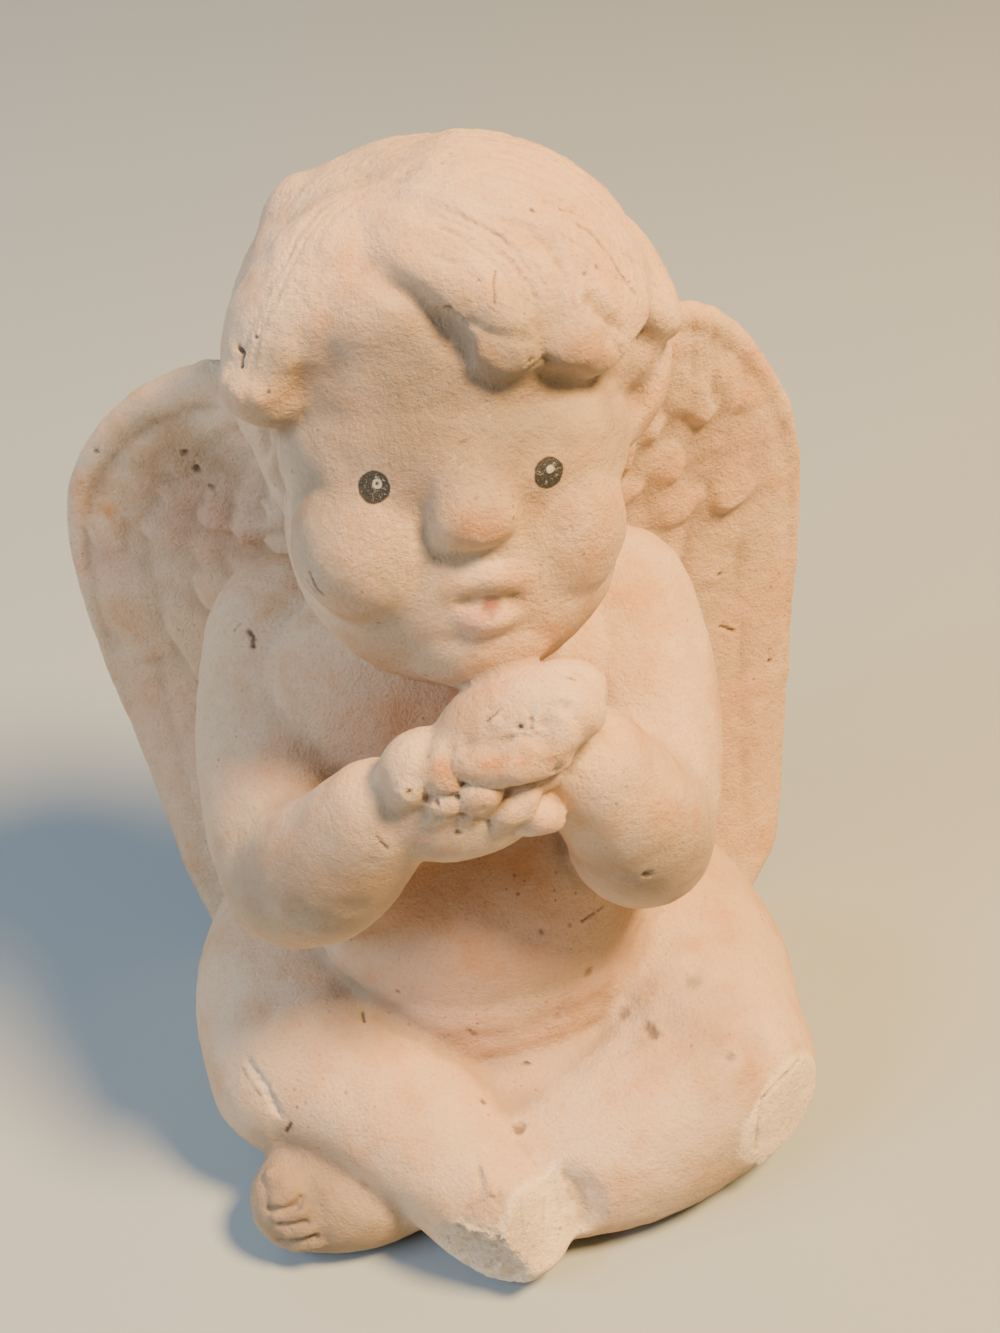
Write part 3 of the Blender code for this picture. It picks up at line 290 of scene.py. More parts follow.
hands = {
    "palms": [((-1.0, -28.6, 66.6), (10.2, 6.4, 6.8), (0, -4, 0)),
              ((2.4, -28.6, 71.4), (8.2, 5.2, 4.6), (0, 0, 0)),
              ((-3.6, -29.4, 72.2), (5.8, 4.6, 4.6), (0, 0, 0))],
    "upperPalm": [((6.2, -28.6, 76.6), (9.6, 5.8, 5.7), (0, -16, 0)),
                  ((9.4, -26.4, 73.6), (6, 5, 6), (0, -10, 0))],
    "fingers": [
        # the lower hand, from its outer edge inwards
        [(-6.4, -31.2, 70.6, 2.2), (-5.8, -31.6, 72.2, 2.5), (-5.0, -30.8, 73.4, 2.1)],
        [(-3.0, -32.2, 72.0, 2.0), (-2.4, -32.0, 74.0, 2.5), (-1.6, -30.8, 75.2, 2.1)],
        [(-3.6, -33.0, 68.8, 1.9), (-2.2, -33.6, 70.8, 1.8)],
        [(0.0, -33.4, 69.4, 1.8), (1.2, -33.9, 71.8, 1.9), (2.4, -32.8, 72.8, 1.6)],
        [(3.2, -33.2, 67.8, 1.8), (4.8, -33.6, 69.4, 2.0), (6.0, -32.2, 71.0, 1.6)],
        [(5.8, -32.6, 66.4, 1.8), (7.4, -32.8, 67.2, 1.9), (8.8, -32.2, 65.8, 1.4)],
        # the upper hand: the finger that lies across, and the thumb curled at its end
        [(0.6, -33.2, 75.6, 1.7), (3.7, -33.7, 75.3, 1.9), (6.9, -33.1, 74.9, 2.0), (9.4, -31.8, 74.9, 2.2)],
        [(9.6, -28.0, 76.2, 2.4), (12.0, -28.2, 76.8, 3.0), (12.9, -27.0, 79.0, 2.8),
         (10.6, -27.4, 80.2, 2.6)]],
}
feet = {
    "shinEnd": [(-15, -24, 14.6, 9.6), (-6, -32.4, 11.6, 9.0), (0.0, -38.8, 8.4, 8.6)],
    "otherFoot": [(-9, -29, 5.8, 5.8), (-17, -32.2, 6.4, 6.7), (-25.0, -31.8, 6.5, 6.8)],
}


def pressPalms(clay):
    for centre, radii, turn in hands["palms"]:
        ball(clay, centre, radii, turn)
    roll(clay, feet["shinEnd"])
    roll(clay, feet["otherFoot"])


def pressFingers(clay):
    for centre, radii, turn in hands["upperPalm"]:
        ball(clay, centre, radii, turn)
    for stations in hands["fingers"]:
        roll(clay, stations)


# Wings. A place on a wing is (across, down): from the inner edge, and from the top, each 0 to 1.

wings = {
    "outer": {-1: [(9, 13, 84), (22, 19, 92.5), (31, 23.5, 89.5), (38, 26, 84), (43, 28, 77),
                   (45.3, 28.5, 70), (46, 28.5, 62), (45.2, 28, 49.5), (42.6, 26, 33), (40, 23, 14.5),
                   (36.5, 19, 3)],
              1: [(9, 13, 84), (20, 17, 95), (31, 20.5, 95.5), (37.5, 24, 90), (43.5, 27, 79.5),
                  (46, 28.5, 70), (46.7, 29, 59), (46, 28, 43), (45.2, 26, 22), (43.8, 22, 8), (39, 17, 2)]},
    "inner": [(7, 12, 82), (6, 10, 77), (6, 10, 72), (6.5, 10.5, 66), (7, 12, 59), (8, 13, 51),
              (10, 14, 42), (13, 15, 32), (17, 15.5, 22), (22, 16, 12), (27, 16, 3)],
    "bulge": 3.0, "halfRoot": 2.6, "halfTip": 1.6,
    "columns": 72, "rows": 176,
    "wide": 38.0, "long": 93.0,        # about one across and one down, in units
    "relief": 1.5, "quills": 4, "quillRelief": 0.3,
    "rim": {-1: 1.0, 1: 0.75},         # how proud the outer edge stands
    "edgeSlope": 6, "armRadius": 3.3, "armTaper": 0.26,
}
# Feathers: the place of each tip and half its width in units
feathers = {
    "length": 13.0,
    1: [[(0.14, .285, 2.6), (0.28, .295, 2.6), (0.41, .305, 2.6), (0.54, .315, 2.5), (0.67, .325, 2.6),
         (0.81, .348, 2.9), (0.95, .375, 2.8)],
        [(0.10, .345, 2.8), (0.24, .35, 2.8), (0.38, .36, 2.8), (0.49, .375, 2.6), (0.61, .397, 3.0),
         (0.79, .415, 3.4), (0.95, .445, 3.0)],
        [(0.12, .41, 3.2), (0.27, .42, 3.2), (0.42, .445, 3.2), (0.58, .482, 3.4), (0.76, .505, 3.8),
         (0.93, .54, 3.4)],
        [(0.16, .49, 3.8), (0.33, .515, 3.8), (0.50, .56, 3.8), (0.69, .605, 4.2), (0.97, .645, 3.6)]],
    -1: [[(0.14, .27, 2.6), (0.28, .275, 2.6), (0.41, .28, 2.6), (0.54, .285, 2.6), (0.67, .29, 2.7),
          (0.80, .30, 2.7), (0.93, .315, 2.6)],
         [(0.10, .33, 2.9), (0.24, .335, 2.9), (0.37, .34, 2.8), (0.49, .35, 2.7), (0.62, .36, 2.8),
          (0.74, .37, 2.6), (0.85, .385, 2.6), (0.97, .41, 2.8)],
         [(0.14, .41, 3.2), (0.29, .42, 3.2), (0.44, .435, 3.2), (0.58, .46, 3.2), (0.72, .455, 3.4),
          (0.92, .505, 3.8)],
         [(0.16, .49, 3.8), (0.33, .51, 3.8), (0.50, .55, 3.8), (0.66, .60, 3.6), (0.83, .61, 3.8)],
         [(0.20, .59, 4.2), (0.42, .62, 4.2), (0.64, .66, 4.2), (0.84, .68, 3.8), (0.97, .72, 3.2)]],
}


def wingEdges(side):
    return [through(edge, 8) for edge in (wings["inner"], wings["outer"][side])]


def wingPoint(edges, side, across, down):
    place = down * (len(edges[0]) - 1)
    i = max(0, min(int(place), len(edges[0]) - 2))
    inner, outer = [edge[i].lerp(edge[i + 1], place - i) for edge in edges]
    point = inner.lerp(outer, across)
    point.y += wings["bulge"] * math.sin(math.pi * across) * math.sin(math.pi * min(down * 1.3, 1.0))
    return Vector((side * point.x, point.y, point.z))


def plumage(side, across, down):
    # height in units over the wing, on numpy arrays of places; the rows waver a little
    a, d = across * wings["wide"], down * wings["long"]
    a, d = (a + 0.9 * np.sin(0.23 * d + 1.3) + 0.6 * np.sin(0.61 * d + 0.37 * a + side),
            d + 0.8 * np.sin(0.31 * a + 0.7 * side) + 0.6 * np.sin(0.53 * a - 0.41 * d))
    place = across * wings["quills"] - 0.12
    off = 2 * (place - np.floor(place)) - 1
    lift = wings["quillRelief"] * (1 - off ** 6)
    for row in reversed(feathers[side]):
        sheet = np.zeros_like(a)
        for x, y, half in row:
            w, s = a - x * wings["wide"], y * wings["long"] - d
            s = s - 0.10 * w
            reach = np.where(s < half, np.sqrt(np.clip(1 - (1 - s / half) ** 2, 0, 1)), 1.0)
            reach = np.where(s < 0, 0, reach) * half
            inside = np.clip((reach - np.abs(w)) / 1.3, 0, 1)
            rise = 0.72 + 0.42 * math.sin(37.0 * x + 61.0 * y)
            crown = 0.55 + 0.45 * (1 - np.clip(np.abs(w) / half, 0, 1) ** 2)
            fade = np.clip(1 - s / feathers["length"], 0, 1)
            sheet = np.maximum(sheet, wings["relief"] * rise * np.sqrt(inside) * crown * fade)
        lift = np.maximum(lift, sheet)
    return lift


def pressWing(clay, side):
    edges = wingEdges(side)
    columns, rows = wings["columns"], wings["rows"]
    form = bmesh.new()
    rims = []
    for front in (1, -1):
        grid = bmesh.ops.create_grid(form, x_segments=columns, y_segments=rows, size=0.5)["verts"]
        across = np.array([v.co.x + 0.5 for v in grid])
        down = np.array([0.5 - v.co.y for v in grid])
        rim = np.minimum(1.0, wings["edgeSlope"] * np.minimum(np.minimum(1 - across, 1 - down), down + 0.3))
        lift = plumage(side, across, down) * rim if front > 0 else np.zeros_like(rim)
        half = wings["halfRoot"] + (wings["halfTip"] - wings["halfRoot"]) * down
        half = half * (np.sqrt(np.clip(rim * (2 - rim), 0, 1)) * 0.8 + 0.2) + lift
        edge = {e for v in grid for e in v.link_edges if e.is_boundary}
        for vert, u, v, thick in zip(grid, across, down, half):
            ahead = wingPoint(edges, side, u, v + 0.01) - wingPoint(edges, side, u, v - 0.01)
            aside = wingPoint(edges, side, u + 0.01, v) - wingPoint(edges, side, u - 0.01, v)
            normal = ahead.cross(aside).normalized() * side
            vert.co = wingPoint(edges, side, u, v) + normal * front * thick
        rims.append(edge)
    bmesh.ops.bridge_loops(form, edges=list(rims[0] | rims[1]))
    bmesh.ops.recalc_face_normals(form, faces=form.faces)
    keep(clay, form)
    rim = wings["rim"][side]
    arm = [(side * x, y, z, rim * (wings["armRadius"] - wings["armTaper"] * i))
           for i, (x, y, z) in enumerate(wings["outer"][side])]
    roll(clay, arm, facing=(0, 1, 0), flat=0.85)


# Carving: the skin's points are moved along their normals, as arrays in units

def arrays(mesh):
    points = np.empty(len(mesh.vertices) * 3)
    normals = np.empty(len(mesh.vertices) * 3)
    mesh.vertices.foreach_get("co", points)
    mesh.vertex_normals.foreach_get("vector", normals)
    return points.reshape(-1, 3), normals.reshape(-1, 3)


def moveTo(mesh, points):
    mesh.vertices.foreach_set("co", points.ravel())
    mesh.update()


def distance(points, path):
    # from each point to a path of many close places
    best = np.full(len(points), 1e9)
    for place in path:
        best = np.minimum(best, ((points - np.array(place)) ** 2).sum(axis=1))
    return np.sqrt(best)


def combed(points):
    # how far each point moves outwards for the strands of hair
    place = np.array(head["place"].inverted())
    local = points @ place[:3, :3].T + place[:3, 3]
    way = local - np.array(hair["centre"])
    azimuth = np.degrees(np.arctan2(way[:, 0], -way[:, 1]))
    elevation = np.degrees(np.arctan2(way[:, 2], np.hypot(way[:, 0], way[:, 1])))
    ends = np.interp(azimuth, *zip(*hair["line"]))
    onHair = np.clip((elevation - ends - 1) / combing["hairline"], 0, 1)
    onHair = onHair * (np.linalg.norm(way, axis=1) > combing["scalp"])
    which = np.flatnonzero(onHair > 0)
    sheets = []
    for side in ("right", "left"):
        total, weights, nearest = 0.0, 0.0, 1e9
        for k, guide in enumerate(combing[side]):
            path = [onScalp(a, e) for a, e in guidePath(guide)]
            far = distance(local[which], path)
            weight = 1 / (far ** 2 + 0.5) ** 2
            total, weights, nearest = total + k * weight, weights + weight, np.minimum(nearest, far)
        sheets.append((total / weights, nearest))
    (right, nearRight), (left, nearLeft) = sheets
    strand = np.where(nearRight < nearLeft, right, left + 0.37)
    wander = np.sin(local[which] @ np.array((0.31, 0.23, 0.17))) * combing["wander"]
    phase = (strand + wander) * combing["strandsBetweenGuides"] * 2 * math.pi
    wave = np.sin(phase) * 0.6 + np.sin(phase * 2.3 + 1.1) * 0.4
    lift = np.zeros(len(points))
    lift[which] = combing["depth"] * wave * onHair[which]
    return lift


def guidePath(guide):
    # a smooth run of (azimuth, elevation), taken the short way round the head
    turned = [list(guide[0])]
    for azimuth, elevation in guide[1:]:
        while azimuth - turned[-1][0] > 180:
            azimuth -= 360
        while azimuth - turned[-1][0] < -180:
            azimuth += 360
        turned.append([azimuth, elevation])
    return [(p[0], p[1]) for p in through([(a, e, 0) for a, e in turned], 8)]


# Strokes of the modelling tool: a route on the surface, its half width, and how far it lifts or sinks

tool = {
    "snap": 4,         # a place this near the casting moves onto it
    "step": 0.3,       # between the places along a route
    "spill": 1.7,      # how far past its half width a stroke fades out
    "narrow": 0.5,     # strokes under this half width are cut once the mesh is split for them
}
strokes = {
    "hand": [
        ([(12.0, -31.4, 81.1), (13.3, -31.8, 79.6), (12.6, -32.7, 78.4)], 2.2, 0.72),
        ([(9.9, -32.7, 80.8), (10.8, -33.1, 79.7), (11.1, -33.4, 78.5)], 1.3, 0.48),
        ([(8.4, -33.4, 79.9), (8.8, -32.8, 80.8), (9.6, -32.4, 81.1), (10.7, -32.3, 81.0)], 0.55, -0.54),
        ([(10.9, -32.4, 80.7), (11.8, -32.9, 79.3), (12.2, -33.0, 77.6)], 0.6, -0.34),
        ([(11.6, -33.3, 77.0), (13.2, -30.4, 73.9), (14.4, -29.1, 74.1)], 1.6, -0.54),
        ([(1.0, -34.5, 76.7), (3.6, -34.9, 76.7), (4.9, -34.9, 76.7)], 2.0, 0.75),
        ([(0.8, -32.8, 78.0), (3.9, -33.7, 78.5), (6.5, -34.0, 78.9), (8.5, -34.1, 78.6)], 0.6, -0.36),
        ([(-0.5, -33.8, 73.3), (2.4, -34.8, 73.3), (5.6, -33.6, 72.0), (8.7, -31.8, 71.0)], 1.6, 0.6),
        ([(8.9, -34.4, 74.7), (10.1, -34.0, 74.8), (10.6, -33.6, 75.4)], 0.35, -0.22),
        ([(0.4, -33.1, 77.5), (0.1, -34.4, 76.7), (0.0, -33.8, 74.0)], 0.7, -0.34),
        ([(-5.9, -32.1, 75.2), (-6.1, -33.5, 73.5)], 2.4, 0.4),
        ([(-2.0, -33.0, 76.3), (-2.2, -34.3, 74.5)], 2, 0.4),
        ([(-3.7, -31.6, 76.2), (-3.9, -33.7, 74.9), (-4.0, -33.9, 72.0)], 0.7, -0.34),
        ([(-3.3, -34.7, 71.4), (-1.4, -35.0, 71.4)], 1.1, 0.4),
        ([(-4.1, -33.8, 71.9), (-2.3, -34.4, 72.8), (-0.8, -34.1, 72.5)], 0.45, -0.28),
        ([(-3.1, -35.1, 70.1), (-1.0, -35.1, 70.4), (0.6, -35.4, 69.9), (2.3, -34.7, 68.0)], 0.4, -0.28),
        ([(0.2, -35.1, 72.5), (2.5, -35.0, 72.1)], 1.6, 0.4), ([(-0.4, -35.3, 70.7)], 0.5, -0.24),
        ([(1.6, -35.6, 71.6)], 0.5, -0.24),
        ([(6.4, -34.8, 69.3), (8.2, -34.4, 67.8), (8.1, -34.1, 66.1)], 2, 0.4),
        ([(3.6, -35.0, 67.5), (5.2, -34.8, 67.9), (5.6, -35.1, 70.3), (5.5, -34.3, 71.4)], 0.7, -0.25),
        ([(2.2, -34.7, 73.7), (4.0, -33.6, 71.8), (5.6, -33.6, 72.0)], 0.5, -0.12),
        ([(2.5, -35.1, 74.7), (5.0, -35.1, 74.1)], 0.3, -0.17),
        ([(2.7, -31.7, 80.3), (3.4, -31.2, 80.7), (4.2, -31.5, 81.1)], 0.3, -0.19),
        ([(7.0, -32.0, 81.5), (7.3, -32.7, 80.6), (7.0, -33.7, 79.6)], 0.3, -0.19),
        ([(3.9, -33.7, 78.5), (5.1, -33.8, 78.9), (6.5, -33.9, 79.1)], 0.3, -0.19),
        ([(4.3, -33.5, 79.0), (5.2, -33.3, 79.8)], 0.35, -0.17), ([(5.8, -33.0, 79.8)], 0.4, -0.22),
        ([(3.5, -32.5, 80.1)], 0.6, 0.28), ([(5.0, -32.3, 80.8)], 0.5, 0.24),
        ([(5.9, -34.0, 78.9)], 0.6, 0.24), ([(1.9, -32.8, 78.8)], 0.5, 0.2),
        ([(12.4, -28.3, 82.1), (14.1, -29.1, 81.1), (15.0, -29.9, 79.5), (15.6, -26.8, 74.1)], 0.35, -0.17),
        ([(7.0, -34.6, 76.5), (8.4, -34.3, 76.4)], 2.2, 0.75),
        ([(10.0, -33.9, 76.9), (10.9, -33.6, 77.3)], 1.5, 0.6),
        ([(5.8, -35.2, 75.9), (5.8, -34.4, 77.4)], 0.5, -0.3),
        ([(9.1, -34.3, 75.2), (9.1, -34.2, 77.5)], 0.5, -0.3),
        ([(3.2, -35.0, 69.4), (3.7, -35.1, 69.9)], 1.2, 0.45)],
    "hair": [
        ([(-3.1, -14.0, 121.3), (-0.9, -15.1, 120.1), (1.9, -15.9, 118.2), (3.5, -16.7, 116.6),
          (4.1, -18.0, 114.7)], 0.9, -0.25),
        ([(4.7, -18.7, 112.1), (6.3, -18.7, 111.1), (8.1, -18.5, 110.9), (10.2, -18.9, 112.5),
          (11.8, -18.2, 113.3)], 0.5, -0.24),
        ([(4.7, -17.8, 118.1), (6.6, -18.6, 117.3), (8.6, -19.0, 116.6), (10.6, -18.3, 116.2)], 0.5, -0.27),
        ([(5.9, -17.2, 120.5), (7.7, -18.1, 118.8), (9.6, -18.0, 117.8)], 1.4, 0.3),
        ([(5.6, -19.1, 114.9), (7.7, -19.6, 113.3), (9.8, -19.3, 114.4)], 1.2, 0.24),
        ([(12.1, -18.2, 113.5), (13.8, -17.4, 111.7), (16.6, -13.9, 108.5),
          (19.7, -8.9, 105.5)], 0.5, -0.24),
        ([(14.4, -17.9, 114.4), (16.9, -16.7, 112.4), (18.8, -15.1, 112.2)], 1.6, 0.3),
        ([(18.1, -15.0, 116.0), (20.0, -13.6, 113.3)], 0.6, -0.3),
        ([(18.1, -15.3, 115.3), (19.3, -14.4, 113.3), (20.2, -13.7, 111.4)], 0.5, 0.3),
        ([(20.6, -12.3, 115.2), (23.5, -7.3, 111.3), (25.3, -6.5, 111.6)], 1.8, 0.36),
        ([(7.8, 0.5, 128.8), (11.8, -0.1, 127.9), (14.2, -1.3, 127.1), (17.1, -1.7, 125.2)], 0.25, -0.22),
        ([(13.3, -8.8, 125.7), (16.3, -8.0, 123.9), (18.7, -8.3, 121.6), (21.7, -8.0, 118.2),
          (24.6, -5.2, 113.6)], 0.28, -0.25),
        ([(8.6, -11.7, 125.8), (11.0, -11.7, 124.8), (12.8, -12.5, 123.2), (14.5, -14.1, 120.5),
          (15.0, -15.8, 117.7)], 0.25, -0.22),
        ([(18.2, -12.3, 119.3), (20.9, -10.5, 116.9), (23.8, -6.8, 112.8)], 0.25, -0.2),
        ([(1.5, -14.1, 123.8), (3.8, -15.1, 123.1), (6.0, -16.4, 121.7)], 0.25, -0.2),
        ([(14.4, -11.6, 123.4), (17.3, -11.5, 121.0), (19.2, -12.1, 118.4),
          (19.9, -12.5, 116.5)], 0.25, -0.22),
        ([(6.3, -6.4, 128.5), (11.1, -7.2, 127.3), (14.9, -7.8, 125.1), (17.8, -7.7, 122.9)], 0.25, -0.2),
        ([(2.7, -12.1, 125.5), (6.4, -13.7, 124.4), (9.6, -14.9, 122.1),
          (11.3, -16.2, 119.3)], 0.25, -0.18),
        ([(18.3, -3.9, 123.9), (20.7, -4.7, 121.4), (23.3, -4.3, 117.4), (24.5, -3.9, 114.4)], 0.3, -0.2),
        ([(9.4, -4.3, 128.3), (13.8, -4.5, 126.4), (18.1, -5.8, 123.5), (21.5, -6.0, 119.5)], 0.3, 0.18),
        ([(4.8, -10.8, 126.5), (8.5, -12.7, 124.9), (11.6, -14.1, 122.0), (13.0, -15.6, 118.9)], 0.3, 0.2),
        ([(-7.9, -3.4, 125.4), (-11.2, -6.7, 123.4), (-13.0, -10.0, 120.9),
          (-14.4, -12.5, 117.9)], 0.25, -0.08),
        ([(-5.4, -6.7, 125.6), (-8.3, -10.3, 123.3), (-10.1, -12.3, 120.7)], 0.25, -0.072),
        ([(-15.7, 3.4, 119.0)], 0.3, -0.08),
        ([(-12.2, -14.5, 116.3), (-12.2, -14.9, 113.4), (-12.8, -14.4, 110.3),
          (-14.2, -14.8, 108.9)], 0.9, -0.36),
        ([(-19.4, -11.6, 112.5), (-18.1, -13.2, 112.8), (-16.8, -14.3, 112.4)], 0.8, -0.24),
        ([(-19.3, -9.4, 113.9), (-18.9, -10.6, 113.7)], 0.7, 0.21),
        ([(-20.1, -12.3, 111.0), (-18.9, -14.2, 110.5), (-16.7, -15.2, 110.0)], 0.8, 0.24),
        ([(-18.0, -5.3, 101.2)], 0.7, 0.3),
        ([(-16.6, -7.2, 101.0), (-17.5, -6.1, 96.6), (-17.1, -6.6, 93.0)], 0.6, 0.3),
        ([(-17.3, -5.9, 101.3), (-18.2, -5.4, 97.5)], 0.7, -0.25),
        ([(-14.9, -12.8, 103.6), (-15.7, -12.2, 100.3)], 0.6, 0.3), ([(-15.6, -10.5, 103.4)], 0.5, -0.25),
        ([(-19.6, -3.7, 99.2)], 0.6, 0.3), ([(-20.7, 17.1, 77.2), (-19.9, 15.7, 75.1)], 0.5, 0.3),
        ([(17.3, -14.9, 117.5), (18.5, -14.9, 114.6), (19.7, -14.4, 111.9)], 1.0, -0.6),
        ([(11.3, -18.1, 112.4), (11.8, -18.1, 114.8), (12.5, -17.0, 116.9)], 0.9, -0.12),
        ([(-0.3, -3.7, 127.7)], 1.3, -0.30),
        ([(1.9, -10.2, 126.5), (8.4, -12.2, 125.4), (13.3, -12.7, 122.8), (16.5, -13.7, 119.7),
          (17.6, -14.8, 117.3)], 1.3, -0.30),
        ([(1.1, -13.0, 124.7), (6.3, -15.0, 123.4), (9.8, -16.3, 120.7), (11.4, -17.3, 117.2)], 1.2, -0.28),
        ([(0.7, -7.3, 127.4)], 1.4, 0.25), ([(4.4, -4.5, 128.9)], 1.2, -0.25),
        ([(-4.3, -12.7, 122.1), (-0.6, -15.2, 120.2), (2.1, -16.1, 117.4), (3.4, -17.3, 115.3)], 1.5, -0.5)],
    "face": [
        ([(-8.5, -19.6, 105.0), (-6.3, -20.9, 104.7), (-4.1, -21.7, 104.7)], 1.6, -0.35),
        ([(9.1, -20.9, 104.7), (11.5, -20.0, 104.4), (14.0, -18.9, 103.5)], 1.6, -0.3),
        ([(2.0, -26.9, 91.5), (4.2, -26.8, 91.5), (6.5, -26.3, 90.8)], 0.7, -0.22),
        ([(0.9, -26.9, 91.2), (1.8, -26.9, 91.5)], 0.7, -0.22),
        ([(6.6, -26.2, 90.8), (7.5, -26.0, 90.5)], 0.7, -0.22),
        ([(1.9, -23.7, 103.9), (2.1, -25.5, 102.5), (2.4, -26.8, 100.6)], 3.0, 0.45),
        ([(4.0, -24.4, 103.1), (4.6, -25.9, 101.6), (5.2, -26.7, 100.0)], 2.0, 0.3),
        ([(-1.0, -23.1, 103.1), (-1.5, -23.7, 101.2), (-1.9, -24.5, 98.7)], 1.2, -0.15),
        ([(-0.4, -25.5, 96.5), (2.6, -25.8, 95.9), (6.4, -25.4, 95.9)], 0.9, -0.2),
        ([(-9.8, -17.4, 106.7), (-3.3, -20.6, 107.0), (3.6, -21.3, 106.4), (10.8, -19.6, 105.7),
          (15.1, -16.8, 105.2)], 4.2, 0.8),
        ([(-9.3, -16.0, 110.3), (-2.7, -18.4, 111.8), (4.1, -19.0, 110.5), (9.0, -18.5, 108.3)], 5.0, -0.6)],
    "foot": [
        ([(-29.0, -35.9, 9.9), (-27.0, -36.7, 10.4), (-25.5, -36.7, 10.9),
          (-24.7, -36.2, 11.6)], 0.45, -0.7),
        ([(-27.4, -37.5, 8.7), (-25.9, -37.9, 8.9), (-24.5, -37.9, 9.2)], 0.4, -0.5),
        ([(-27.8, -37.6, 5.7), (-25.7, -38.3, 6.4), (-23.5, -38.6, 7.0)], 0.45, -0.7),
        ([(-28.2, -35.4, 11.1), (-25.3, -35.6, 12.0)], 0.9, 0.4),
        ([(-28.0, -36.9, 9.4), (-24.9, -37.3, 10.3)], 0.7, 0.4),
        ([(-27.1, -37.8, 7.4), (-24.0, -38.2, 8.2)], 0.7, 0.4),
        ([(-26.5, -37.7, 4.2), (-23.3, -38.7, 5.7)], 0.7, 0.4),
        ([(-23.7, -34.8, 12.7), (-22.8, -37.5, 10.2), (-23.0, -38.7, 6.7)], 0.9, -0.35),
        ([(-29.4, -31.9, 11.5), (-28.8, -35.1, 10.9)], 0.6, -0.3),
        ([(-28.7, -32.3, 12.0), (-26.2, -34.6, 12.4)], 0.9, 0.5),
        ([(-4.9, -42.8, 15.0), (-3.2, -42.8, 15.7), (-2.2, -42.4, 16.2), (-1.5, -42.4, 16.2),
          (-1.0, -43.2, 15.7)], 0.3, -0.4),
        ([(-5.0, -43.6, 13.9), (-3.4, -44.5, 13.8), (-1.4, -45.5, 13.3)], 0.3, -0.4),
        ([(-2.3, -37.8, 18.6), (-1.9, -40.2, 17.5), (-1.7, -42.1, 16.4)], 0.5, 0.4),
        ([(-3.0, -39.4, 18.0), (-2.7, -41.1, 16.9), (-3.4, -42.4, 15.9)], 0.3, -0.25),
        ([(-0.6, -42.1, 16.3), (-0.5, -44.5, 14.7), (-0.9, -45.8, 12.6)], 0.3, -0.3),
        ([(-5.0, -42.8, 7.3), (-3.2, -44.2, 7.8)], 0.5, -0.3),
        ([(-4.0, -43.4, 4.9), (-1.5, -45.1, 6.9)], 0.35, 0.3),
        ([(1.6, -37.4, 17.5), (1.7, -42.2, 16.1), (1.4, -44.8, 11.9)], 0.25, -0.15),
        ([(3.8, -38.3, 16.3), (4.5, -41.6, 12.8), (3.7, -44.4, 8.9)], 0.25, -0.15),
        ([(5.8, -39.2, 15.3), (6.3, -41.1, 10.8)], 0.25, -0.15),
        ([(37.6, -28.4, 18.1), (34.7, -31.2, 18.4), (32.1, -33.4, 17.6), (31.5, -34.5, 14.7),
          (31.1, -35.2, 10.3)], 0.3, -0.45),
        ([(36.0, -31.0, 7.3), (33.5, -33.3, 7.4), (31.7, -34.4, 7.1)], 0.5, 0.4),
        ([(37.9, -28.7, 13.3), (37.5, -29.3, 9.6), (36.3, -30.6, 7.5)], 0.5, 0.3)],
    "body": [
        ([(-12.0, -20.7, 26.2), (-9.2, -23.1, 24.6), (-5.0, -24.2, 23.3), (1.2, -24.8, 23.8),
          (7.5, -23.9, 24.7), (14.1, -20.6, 24.1)], 1.5, -0.36), ([(-13.8, -33.0, 56.6)], 1.4, -0.21),
        ([(14.2, -26.7, 49.6), (16.5, -25.9, 46.1), (18.9, -25.5, 44.6)], 1.2, -0.18)],
}


def onto(points, place):
    # the place moved onto the casting
    best = np.argmin(((points - np.array(place)) ** 2).sum(axis=1))
    return points[best] if np.linalg.norm(points[best] - place) < tool["snap"] else np.array(place)


def dense(route, points):
    route = [onto(points, p) for p in route]
    path = [route[0]]
    for a, b in zip(route, route[1:]):
        steps = max(2, int(np.linalg.norm(b - a) / tool["step"]))
        path += [a + (b - a) * t / steps for t in range(1, steps + 1)]
    return np.array(path)


def around(points, path, reach):
    # the points within reach of a path, and how far from it they are
    inside = (points > path.min(axis=0) - reach) & (points < path.max(axis=0) + reach)
    which = np.flatnonzero(inside.all(axis=1))
    far = distance(points[which], path)
    return which[far < reach], far[far < reach]


def sculpt(points, normals, narrow):
    moved = points.copy()
    for route, half, lift in sum(strokes.values(), []):
        if (half < tool["narrow"]) == narrow:
            reach = half * tool["spill"]
            which, far = around(points, dense(route, points), reach)
            fall = np.clip(1 - (far / reach) ** 2, 0, 1) ** 2
            moved[which] += normals[which] * (fall * lift)[:, None]
    return moved


def carve(mesh):
    points, normals = arrays(mesh)
    lift = combed(points)
    moveTo(mesh, sculpt(points, normals, False) + normals * lift[:, None])


# Breaks: the way a flat faces, its middle, how far it reaches, and its roughness

breaks = [
    ((-0.45, -0.88, -0.15), (-2.7, -44.1, 7.5), 8.0, 0.45),    # end of the front foot, in two flats
    ((0.58, -0.72, 0.38), (3.6, -43.4, 10.8), 9.0, 0.10),
    ((0.68, -0.73, 0.07), (35.2, -31.2, 12.0), 10.5, 0.08),    # knee at +X
]


def overBreak(points, way, middle, reach):
    # the flat's way, how far each point lies beyond it, and how much the break takes in that point
    way, middle = np.array(Vector(way).normalized()), np.array(middle)
    off = np.linalg.norm(points - middle, axis=1)
    return way, (points - middle) @ way, np.clip((reach - off) / 2, 0, 1)


